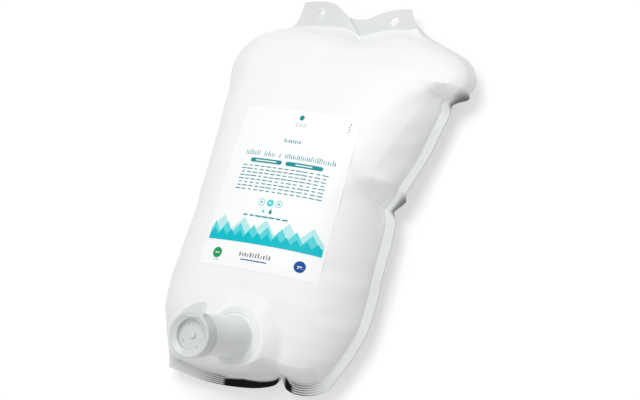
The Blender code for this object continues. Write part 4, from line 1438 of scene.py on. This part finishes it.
    def compose(self) -> None:
        """Lay out the whole print."""
        self.disc(InkColour.TEAL, 2.0, 6.0, 2.2)
        self.words(InkColour.SOFT_GREY, 3.0, 11.2, 3, 2, (3.7, 1.8), (2.6, 0.5), 3)
        for k, length in enumerate((2.0, 1.4, 2.0, 1.2)):
            self.bar(InkColour.SOFT_GREY, 46.0 - 0.7 * (k % 2), 5.5 + 2.3 * k, 0.9, length)
        self.strokes(InkColour.TEAL, 0.75, 28.4, 8, 2.0, (0.85, 3.2), (), 4)
        self.strokes(InkColour.TEAL, 2.0, 42.0, 46, 1.82, (0.62, 4.6), (8, 9, 16, 17, 19, 20), 8)
        self.pill(InkColour.TEAL, -17.5, 46.2, 30.0, 3.6)
        self.pill(InkColour.TEAL, 18.0, 46.2, 33.6, 3.6)
        self.bar(InkColour.KNOCKOUT, -17.5, 46.2, 20.0, 1.0, 1)
        self.bar(InkColour.KNOCKOUT, 18.0, 46.2, 15.0, 1.0, 1)
        self.words(InkColour.TEAL, 0.8, 51.0, 14, 8, (5.7, 2.9), (4.2, 0.85), 6)
        for s, filled in ((-9.5, False), (-1.5, True), (6.5, False)):
            self.disc(InkColour.MID, s, 80.5, 3.1)
            if not filled:
                self.disc(InkColour.KNOCKOUT, s, 80.5, 2.55, 1)
            self.disc(InkColour.KNOCKOUT if filled else InkColour.TEAL, s, 80.5, 0.8, 2)
        self.drop(InkColour.TEAL, 1.0, 88.2, 1.4)
        self.drop(InkColour.MID, -5.5, 88.2, 1.1)
        self.words(InkColour.TEAL, -2.7, 92.6, 7, 1, (6.1, 1.0), (4.4, 1.2), 7)
        self.pennants(InkColour.PALE, 94.5, 115.5, 20.4, 0, 10.2)
        self.pennants(InkColour.MID, 100.0, 115.5, 12.75, 1, 3.0)
        self.pennants(InkColour.STRONG, 106.0, 115.5, 8.5, 2, 4.25)
        self.disc(InkColour.GREEN, -37.6, 126.3, 4.4)
        self.bar(InkColour.KNOCKOUT, -37.6, 126.3, 4.2, 0.8, 1)
        self.words(InkColour.GREEN, -37.6, 132.0, 2, 1, (2.8, 1.0), (2.2, 0.5), 5)
        self.strokes(InkColour.GREY, -2.0, 126.6, 12, 2.45, (1.05, 4.2), (), 9)
        self.bar(InkColour.BLUE, -2.0, 129.2, 24.0, 0.9)
        self.disc(InkColour.BLUE, 37.3, 126.7, 4.7)
        self.bar(InkColour.KNOCKOUT, 37.3, 126.7, 3.8, 0.9, 1)

    def sliced(self, mesh: bmesh.types.BMesh) -> None:
        """Cut the flat shapes along a grid so that they can follow the paper's curve."""
        for axis in (0, 1):
            values = [v.co[axis] for v in mesh.verts]
            at = math.floor(min(values) / self.lay_step) + 1
            normal = Vector((1, 0, 0)) if axis == 0 else Vector((0, 1, 0))
            while at * self.lay_step < max(values):
                geometry = mesh.verts[:] + mesh.edges[:] + mesh.faces[:]
                bmesh.ops.bisect_plane(mesh, geom=geometry, plane_co=normal * at * self.lay_step,
                                       plane_no=normal)
                at += 1

    def build(self) -> list[tuple[bpy.types.Object, InkColour]]:
        """Build one thin piece for each ink and return them with their inks."""
        self.compose()
        made = []
        for ink, shapes in self.shapes.items():
            mesh = bmesh.new()
            level = mesh.verts.layers.float.new("level")
            for points, layer in shapes:
                places = [(self.sheet.centre_x + s * MM, self.sheet.top - t * MM, 0.0) for s, t in points]
                verts = [mesh.verts.new(p) for p in places]
                for vert in verts:
                    vert[level] = layer
                flat = mesh.faces.new(verts)
                flat.normal_update()
                if flat.normal.z < 0:
                    flat.normal_flip()
            self.sliced(mesh)
            bmesh.ops.triangulate(mesh, faces=mesh.faces[:])
            top = mesh.faces[:]
            extruded = bmesh.ops.extrude_face_region(mesh, geom=top, use_keep_orig=True)
            raised = {v for v in extruded["geom"] if isinstance(v, bmesh.types.BMVert)}
            for vert in mesh.verts:
                surface = self.sheet.surface(np.array([vert.co.x]), np.array([vert.co.y]))[0]
                height = self.lift * (1 + vert[level]) if vert in raised else -self.film
                vert.co.z = surface + height
            bmesh.ops.recalc_face_normals(mesh, faces=mesh.faces[:])
            data = bpy.data.meshes.new("print")
            mesh.to_mesh(data)
            mesh.free()
            name = f"label_print_{ink.name.lower()}"
            made.append((link_new(name, data), ink))
        return made


def arc(centre: tuple[float, float], radius: float, start: float, end: float, steps: int = 6) -> Run:
    """Give points of an arc in a turned profile, angles in degrees from outwards to up."""
    angles = [math.radians(start + (end - start) * k / steps) for k in range(steps + 1)]
    return tuple((centre[0] + radius * math.cos(a), centre[1] + radius * math.sin(a)) for a in angles)


def lathe(name: str, profile: list[tuple[float, float]], steps: int = 128) -> bpy.types.Object:
    """Turn a closed profile round the Z axis.

    Args:
        name: the object's name.
        profile: (radius, height) pairs, walked with the plastic on the right.
        steps: the number of facets round.

    Returns:
        The turned object, closed where the profile touches the axis.
    """
    verts: list[tuple[float, float, float]] = []
    rings: list[list[int]] = []
    for radius, height in profile:
        if radius < 1e-7:
            rings.append([len(verts)] * steps)
            verts.append((0.0, 0.0, height))
            continue
        rings.append(list(range(len(verts), len(verts) + steps)))
        turns = [2 * math.pi * k / steps for k in range(steps)]
        verts += [(radius * math.cos(a), radius * math.sin(a), height) for a in turns]
    faces = []
    for a, b in zip(rings, rings[1:] + rings[:1]):
        for k in range(steps):
            n = (k + 1) % steps
            corners = [a[k], b[k], b[n], a[n]]
            kept = [c for i, c in enumerate(corners) if c not in corners[:i]]
            if len(kept) >= 3:
                faces.append(kept)
    obj = mesh_object(name, verts, faces, None)
    face_outwards(obj.data)
    obj.data.shade_smooth()
    obj.data.set_sharp_from_angle(angle=TURNED_SHARP_ANGLE)
    return obj


@dataclass
class Spout:
    """The moulded spout: a weld flange with concentric ribs, a flare and a straight tube."""

    stand: SpoutFrame = field(default_factory=SpoutFrame)
    flange_radius: float = 24.0 * MM
    flange_thickness: float = 1.6 * MM
    rib_height: float = 0.5 * MM
    rib_pitch: float = 1.5 * MM
    ribs: int = 3
    radius: float = 16.2 * MM
    wall: float = 2.0 * MM
    length: float = 64.2 * MM
    flare: float = 3.0 * MM
    collar_height: float = 1.6 * MM
    collar_out: float = 1.0 * MM
    seat_gap: float = 0.3 * MM
    cap_skirt: float = 9.2 * MM
    mouth_edge: float = 0.6 * MM
    bore_edge: float = 0.4 * MM
    collar_edge: float = 0.35 * MM
    collar_slope: float = 0.05 * MM
    rib_margin: float = 1.2 * MM
    rib_offset: float = 0.3
    rib_share: float = 0.8
    rib_points: int = 8

    def collar(self) -> float:
        """Height of the collar's upper side over the flange."""
        return self.length - self.cap_skirt

    def profile(self) -> list[tuple[float, float]]:
        """Give the section from the tube's mouth down its outside, over the flange and back up the bore."""
        r, top, collar = self.radius, self.length, self.collar()
        bore = r - self.wall
        out = r + self.collar_out
        edge, lip = self.collar_edge, self.mouth_edge
        points = list(arc((r - lip, top - lip), lip, 90, 0))
        points += [(r, collar + self.collar_slope), (out - edge, collar)]
        points += arc((out - edge, collar - edge), edge, 80, 0, 3)
        points += arc((out - edge, collar - self.collar_height + edge), edge, 0, -80, 3)
        points += [(r, collar - self.collar_height)]
        points += arc((r + self.flare, self.flange_thickness + self.flare), self.flare, 180, 270, 10)
        start = self.flange_radius - self.rib_margin - self.ribs * self.rib_pitch
        for rib in range(self.ribs):
            middle = start + (rib + self.rib_offset) * self.rib_pitch
            for k in range(self.rib_points + 1):
                share = k / self.rib_points - 0.5
                swell = 0.5 + 0.5 * math.cos(2 * math.pi * share)
                points.append((middle + share * self.rib_share * self.rib_pitch,
                               self.flange_thickness + self.rib_height * swell))
        points += arc((self.flange_radius - lip, self.flange_thickness - lip), lip, 90, 0)
        points += [(self.flange_radius, 0.0), (bore, 0.0), (bore, top - self.bore_edge),
                   (bore + self.bore_edge, top)]
        return points

    def build(self) -> bpy.types.Object:
        """Turn the spout and stand it on the pouch."""
        obj = lathe("moulded_spout", self.profile())
        obj.data.transform(self.stand.matrix())
        return obj


@dataclass
class WeldSkirt:
    """The film that is welded over the flange: fine concentric ribs, then a soft run into the pouch."""

    stand: SpoutFrame = field(default_factory=SpoutFrame)
    inner: float = 18.6 * MM
    outer: float = 31.0 * MM
    flange: float = 24.0 * MM
    height: float = 1.95 * MM
    depth: float = 0.35 * MM
    rib_height: float = 0.75 * MM
    rib_pitch: float = 1.5 * MM
    rib_margin: float = 5.4 * MM
    ribs: int = 3
    dip: float = 0.15 * MM
    film_start: float = 0.6 * MM
    probe: float = 50.0 * MM
    rings: int = 64
    steps: int = 128

    def height_over_film(self, radius: float) -> tuple[float, float]:
        """Give the skirt's height over the flange's plane and the share of the film's own height.

        Args:
            radius: distance from the tube's middle.

        Returns:
            The height over the plane, and how much the film takes over, 0 to 1.
        """
        rib = 0.0
        start = self.flange - self.rib_margin
        if start < radius < start + self.ribs * self.rib_pitch:
            rib = self.rib_height * (0.5 - 0.5 * math.cos(2 * math.pi * (radius - start) / self.rib_pitch))
        share = float(smooth_step((radius - self.flange + self.film_start) / (self.outer - self.flange)))
        return self.height + rib, share

    def build(self, pouch: bpy.types.Object) -> bpy.types.Object:
        """Build the skirt as a closed ring that runs down into the pouch.

        Args:
            pouch: the film that it runs into.

        Returns:
            The skirt.
        """
        matrix = self.stand.matrix()
        tree = film_tree(pouch)
        axis = self.stand.axis()
        upper, lower = [], []
        for ring in range(self.rings + 1):
            radius = self.inner + (self.outer - self.inner) * ring / self.rings
            height, share = self.height_over_film(radius)
            for k in range(self.steps):
                angle = 2 * math.pi * k / self.steps
                flat = Vector((radius * math.cos(angle), radius * math.sin(angle), 0.0))
                hit = tree.ray_cast(matrix @ (flat + Vector((0, 0, self.probe))), -axis)
                film = (matrix.inverted() @ hit[0]).z if hit[0] is not None else 0.0
                top = height * (1 - share) + (film - self.dip) * share
                upper.append(matrix @ Vector((flat.x, flat.y, top)))
                lower.append(matrix @ Vector((flat.x, flat.y, top - self.depth)))
        count = len(upper)
        faces = []
        for ring in range(self.rings):
            for k in range(self.steps):
                n = (k + 1) % self.steps
                a, b = ring * self.steps + k, ring * self.steps + n
                c, d = b + self.steps, a + self.steps
                faces.append((a, d, c, b))
                faces.append((a + count, b + count, c + count, d + count))
        last = self.rings * self.steps
        for k in range(self.steps):
            n = (k + 1) % self.steps
            faces.append((k, n, n + count, k + count))
            faces.append((last + n, last + k, last + k + count, last + n + count))
        return mesh_object("flange_weld_skirt", upper + lower, faces)


@dataclass
class PullCap:
    """The push-on cap: a turned body with a sunk face, a boss, four nubs and a bent pull tab."""

    spout: Spout
    clearance: float = 0.3 * MM
    wall: float = 1.6 * MM
    top_thickness: float = 3.6 * MM
    rim: float = 1.6 * MM
    plug_depth: float = 4.0 * MM
    plug_wall: float = 1.5 * MM
    boss_radius: float = 3.0 * MM
    boss_height: float = 1.6 * MM
    nub_radius: float = 0.9 * MM
    nub_height: float = 1.0 * MM
    nub_ring: float = 9.6 * MM
    nub_sink: float = 0.05 * MM
    nub_turn: float = 0.35
    nubs: int = 4
    tab_width: float = 21.0 * MM
    tab_tip_width: float = 8.0 * MM
    tab_reach: float = 8.0 * MM
    tab_drop: float = 4.0 * MM
    tab_thickness: float = 1.5 * MM
    tab_sink: float = 0.15 * MM
    tab_steps: int = 26
    tab_points: int = 20
    tab_bend: float = 1.8
    tab_taper: float = 1.6
    tab_tip_roundness: int = 10
    tab_tip_least: float = 0.03
    tab_corner: float = 0.35
    tab_edge: float = 0.7
    top_edge: float = 1.0 * MM
    skirt_edge: float = 0.3 * MM
    boss_edge: float = 0.4 * MM
    boss_taper: float = 0.72
    dish_edge: float = 0.9 * MM
    rim_edge: tuple[float, float] = (0.2 * MM, 0.15 * MM)

    def levels(self) -> tuple[float, float, float]:
        """Heights of the rim's underside, the rim's top and the sunk face."""
        under = self.spout.length + self.spout.seat_gap
        return under, under + self.top_thickness, under - self.plug_depth + self.plug_wall

    def profile(self) -> list[tuple[float, float]]:
        """Give the section from the rim down the skirt, under it, over the plug and into the dish."""
        under, top, sunk = self.levels()
        inside = self.spout.radius + self.clearance
        outside = inside + self.wall
        base = under - self.spout.cap_skirt
        plug = self.spout.radius - self.spout.wall - self.clearance
        dish = plug - self.plug_wall
        edge, hem, round_in, round_dish = self.top_edge, self.skirt_edge, self.boss_edge, self.dish_edge
        points = list(arc((outside - edge, top - edge), edge, 90, 0, 8))
        points += arc((outside - hem, base + hem), hem, 0, -90, 3)
        foot = under - self.plug_depth
        points += [(inside, base), (inside, under), (plug, under), (plug, foot), (0.0, foot)]
        boss = sunk + self.boss_height
        points += [(0.0, boss)]
        points += arc((self.boss_radius * self.boss_taper, boss - round_in), round_in, 90, 15, 4)
        points += arc((self.boss_radius + round_in, sunk + round_in), round_in, 195, 270, 4)
        points += arc((dish - round_dish, sunk + round_dish), round_dish, -90, 0, 6)
        rim_out, rim_down = self.rim_edge
        points += [(dish, under + self.plug_wall), (outside - self.rim - rim_out, top - rim_down),
                   (outside - self.rim, top)]
        return points

    def tab(self) -> bpy.types.Object:
        """Build the pull tab as a closed tongue with soft edges."""
        _, top, _ = self.levels()
        outside = self.spout.radius + self.clearance + self.wall
        root = math.sqrt(outside**2 - (self.tab_width / 2) ** 2) - self.wall * 0.5
        steps, around = self.tab_steps, self.tab_points
        verts, faces = [], []
        for k in range(steps + 1):
            share = k / steps
            out = root + (outside + self.tab_reach - root) * share
            middle = top - self.tab_sink - self.tab_thickness / 2 - self.tab_drop * share**self.tab_bend
            width = self.tab_width + (self.tab_tip_width - self.tab_width) * share**self.tab_taper
            half = width / 2 * math.sqrt(max(1 - share**self.tab_tip_roundness, self.tab_tip_least))
            shift = (self.tab_width - width) / 2
            for n in range(around):
                a = 2 * math.pi * n / around
                c, s = math.cos(a), math.sin(a)
                wide = half * math.copysign(abs(c) ** self.tab_corner, c)
                thick = self.tab_thickness / 2 * math.copysign(abs(s) ** self.tab_edge, s)
                verts.append((wide + shift, out, middle + thick))
        for k in range(steps):
            for n in range(around):
                m = (n + 1) % around
                faces.append((k * around + n, k * around + m, (k + 1) * around + m, (k + 1) * around + n))
        faces.append(tuple(range(around))[::-1])
        faces.append(tuple(range(steps * around, (steps + 1) * around)))
        tab = mesh_object("tab_tool", verts, faces)
        face_outwards(tab.data)
        return tab

    def build(self) -> bpy.types.Object:
        """Turn the cap, join its tab and stand it on the tube."""
        cap = lathe("cap_tool", self.profile())
        tab = self.tab()
        union = cap.modifiers.new("tab", "BOOLEAN")
        union.operation = "UNION"
        union.solver = "EXACT"
        union.object = tab
        joined = settled(cap, "pull_cap")
        bpy.data.objects.remove(tab, do_unlink=True)
        joined.data.transform(self.spout.stand.matrix())
        joined.data.shade_smooth()
        joined.data.set_sharp_from_angle(angle=TURNED_SHARP_ANGLE)
        return joined

    def build_nubs(self, material: bpy.types.Material) -> bpy.types.Object:
        """Stand the nubs on the sunk face.

        Args:
            material: the cap's plastic.

        Returns:
            The nubs as one piece.
        """
        _, _, sunk = self.levels()
        angles = [2 * math.pi * (k + self.nub_turn) / self.nubs for k in range(self.nubs)]
        reach, foot = self.nub_ring, sunk - self.nub_sink
        points = [(reach * math.cos(a), reach * math.sin(a), foot) for a in angles]
        nubs = NubRing().run("cap_nubs", point_mesh("nub_points", points),
                             {"Radius": self.nub_radius, "Height": self.nub_height, "Material": material})
        nubs.data.transform(self.spout.stand.matrix())
        return nubs


@dataclass
class Studio:
    """The camera, floor, world and lamps."""

    turn: float = 31.0
    tilt: float = -11.0
    roll: float = 15.0
    target: tuple[float, float, float] = (0.014, 0.0, 0.019)
    distance: float = 2.1
    lens: float = 146.25
    sky: float = 0.47
    key_power: float = 22.0
    fill_power: float = 2.7
    floor_lift: float = 0.48
    floor_half: float = 3.0
    floor_drop: float = 0.2 * MM
    lamp_size: float = 1.2
    key_place: tuple[float, float, float] = (0.08, 0.75, 1.90)
    fill_place: tuple[float, float, float] = (-0.15, -1.10, 1.10)
    white: tuple[float, float, float, float] = (1.0, 1.0, 1.0, 1.0)

    def camera(self) -> None:
        """Place the camera at the photograph's viewing angle."""
        th, ph, ro = (math.radians(a) for a in (self.turn, self.tilt, self.roll))
        back = Vector((math.sin(th) * math.cos(ph), math.sin(ph), math.cos(th) * math.cos(ph)))
        right = Vector((math.cos(th), 0.0, -math.sin(th)))
        up = back.cross(right)
        side = right * math.cos(ro) + up * math.sin(ro)
        head = -right * math.sin(ro) + up * math.cos(ro)
        data = bpy.data.cameras.new("camera")
        data.lens = self.lens
        data.sensor_width = 36.0
        camera = link_new("camera", data)
        place = Vector(self.target) + back * self.distance
        matrix = Matrix((side, head, back)).transposed().to_4x4()
        camera.matrix_world = Matrix.Translation(place) @ matrix
        bpy.context.scene.camera = camera

    def world(self) -> None:
        """Make a plain world that shows as white behind the object."""
        world = bpy.data.worlds.new("studio")
        world.use_nodes = True
        tree = world.node_tree
        tree.nodes.clear()
        shown = seen_rays(tree)
        light = add_node(tree, "ShaderNodeBackground", {"Color": self.white, "Strength": self.sky})
        white = add_node(tree, "ShaderNodeBackground", {"Color": self.white, "Strength": 1.0})
        mixed = add_node(tree, "ShaderNodeMixShader", {}, {0: (shown, 0), 1: (light, 0), 2: (white, 0)})
        add_node(tree, "ShaderNodeOutputWorld", {}, {"Surface": (mixed, 0)})
        bpy.context.scene.world = world

    def floor(self) -> None:
        """Lay a plain pale floor under the bag."""
        half = self.floor_half
        verts = [(-half, -half, 0.0), (half, -half, 0.0), (half, half, 0.0), (-half, half, 0.0)]
        floor = mesh_object("floor", verts, [(0, 1, 2, 3)], None)
        floor.location.z = -self.floor_drop
        look = Shading("pale studio floor", Base_Color=linear("C4C4C4"), Roughness=0.8)
        glow = look.node("ShaderNodeEmission", {"Color": self.white, "Strength": self.floor_lift})
        both = look.node("ShaderNodeAddShader", {}, {0: (look.shader, 0), 1: (glow, 0)})
        pick = look.node("ShaderNodeMixShader", {},
                         {0: (seen_rays(look.tree), 0), 1: (look.shader, 0), 2: (both, 0)})
        look.tree.links.new(pick.outputs[0], look.tree.nodes["Material Output"].inputs["Surface"])
        dress(floor, look.material)

    def lamp(self, name: str, place: tuple[float, float, float], power: float) -> None:
        """Hang a square soft lamp that looks at the bag.

        Args:
            name: the lamp's name.
            place: where it hangs.
            power: its power in watts.
        """
        data = bpy.data.lights.new(name, "AREA")
        data.shape = "SQUARE"
        data.size = self.lamp_size
        data.energy = power
        lamp = link_new(name, data)
        lamp.location = place
        lamp.rotation_euler = Vector(place).to_track_quat("Z", "Y").to_euler()

    def build(self) -> None:
        """Set up the whole studio."""
        scene = bpy.context.scene
        scene.view_settings.view_transform = "Standard"
        self.camera()
        self.world()
        self.floor()
        self.lamp("key", self.key_place, self.key_power)
        self.lamp("fill", self.fill_place, self.fill_power)


@dataclass
class RefillBag:
    """The whole bag: builds every piece, dresses it and ties it to the CAD."""

    pouch: FilmPouch = field(default_factory=FilmPouch)
    label: LabelSheet = field(default_factory=LabelSheet)
    spout: Spout = field(default_factory=Spout)
    weld_rib_count: int = 5
    weld_rib_radius: float = 0.32 * MM
    weld_rib_inset: float = 0.14
    rib_tone: float = 0.6

    def tie(self, obj: bpy.types.Object, body: Body, node: str | None = None) -> None:
        """Tie a piece to its body and the CAD node it stands for.

        Args:
            obj: the piece.
            body: the body that it rides on.
            node: the CAD node that it replaces, if any.
        """
        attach(obj, body.value)
        if node:
            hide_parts(node)
        LOG.info("%s: %d faces on %s", obj.name, len(obj.data.polygons), body.value)

    def build(self) -> None:
        """Build all pieces in order."""
        film = FilmFinish().build()
        pouch = self.pouch.build()
        dress(pouch, film)
        self.tie(pouch, Body.BAG, "pouch")
        lines = self.pouch.weld_lines(self.weld_rib_count, self.weld_rib_inset)
        ribs = SweptRibs().run("weld_ribs", line_mesh("weld_lines", lines),
                               {"Radius": self.weld_rib_radius, "Sides": 8, "Material": film})
        self.paint_ribs(ribs)
        self.tie(ribs, Body.BAG)
        sheet = self.label.build(pouch)
        dress(sheet, PaperFinish().build())
        self.tie(sheet, Body.BAG, "label")
        for piece, ink in LabelPrint(self.label).build():
            dress(piece, InkFinish(ink).build())
            self.tie(piece, Body.BAG)
        skirt = WeldSkirt(self.spout.stand).build(pouch)
        dress(skirt, film)
        self.tie(skirt, Body.BAG)
        spout = self.spout.build()
        dress(spout, MouldedFinish("natural polyethylene spout, injection moulded", "F6F8F8", 0.34).build())
        self.tie(spout, Body.BAG, "spout")
        # Painted shade: the cap's plastic is made greyer than the spout's, standing in for the shade in its
        # sunk face
        plastic = MouldedFinish("natural polyethylene cap, injection moulded", "DEE0E0", 0.32).build()
        cap = PullCap(self.spout)
        body = cap.build()
        dress(body, plastic)
        self.tie(body, Body.CAP, "cap")
        self.tie(cap.build_nubs(plastic), Body.CAP)
        dress(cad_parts["outlet_valve"], SiliconeFinish().build())

    def paint_ribs(self, ribs: bpy.types.Object) -> None:
        """Carry the weld's tones and its painted shade over to its ribs.

        Args:
            ribs: the ribs of the bottom weld.
        """
        places = np.array([v.co for v in ribs.data.vertices])
        _, _, outer, inner = self.pouch.form.outline()
        edge_in = np.interp(places[:, 0], inner[2][:, 0], inner[2][:, 1])
        edge_out = np.interp(places[:, 0], outer[2][:, 0], outer[2][:, 1])
        share = (edge_in - places[:, 1]) / np.maximum(edge_in - edge_out, 1 * MM)
        dark, _ = self.pouch.painted_weld_shade(places[:, 0], places[:, 1], share)
        for name, values in (("tone", np.full(len(places), self.rib_tone)), ("painted_shade", dark)):
            write_values(ribs.data, name, values)


def main() -> None:
    """Build the bag and the studio."""
    logging.basicConfig(level=logging.INFO, format="%(name)s: %(message)s")
    RefillBag().build()
    Studio().build()


if __name__ == "__main__":
    main()
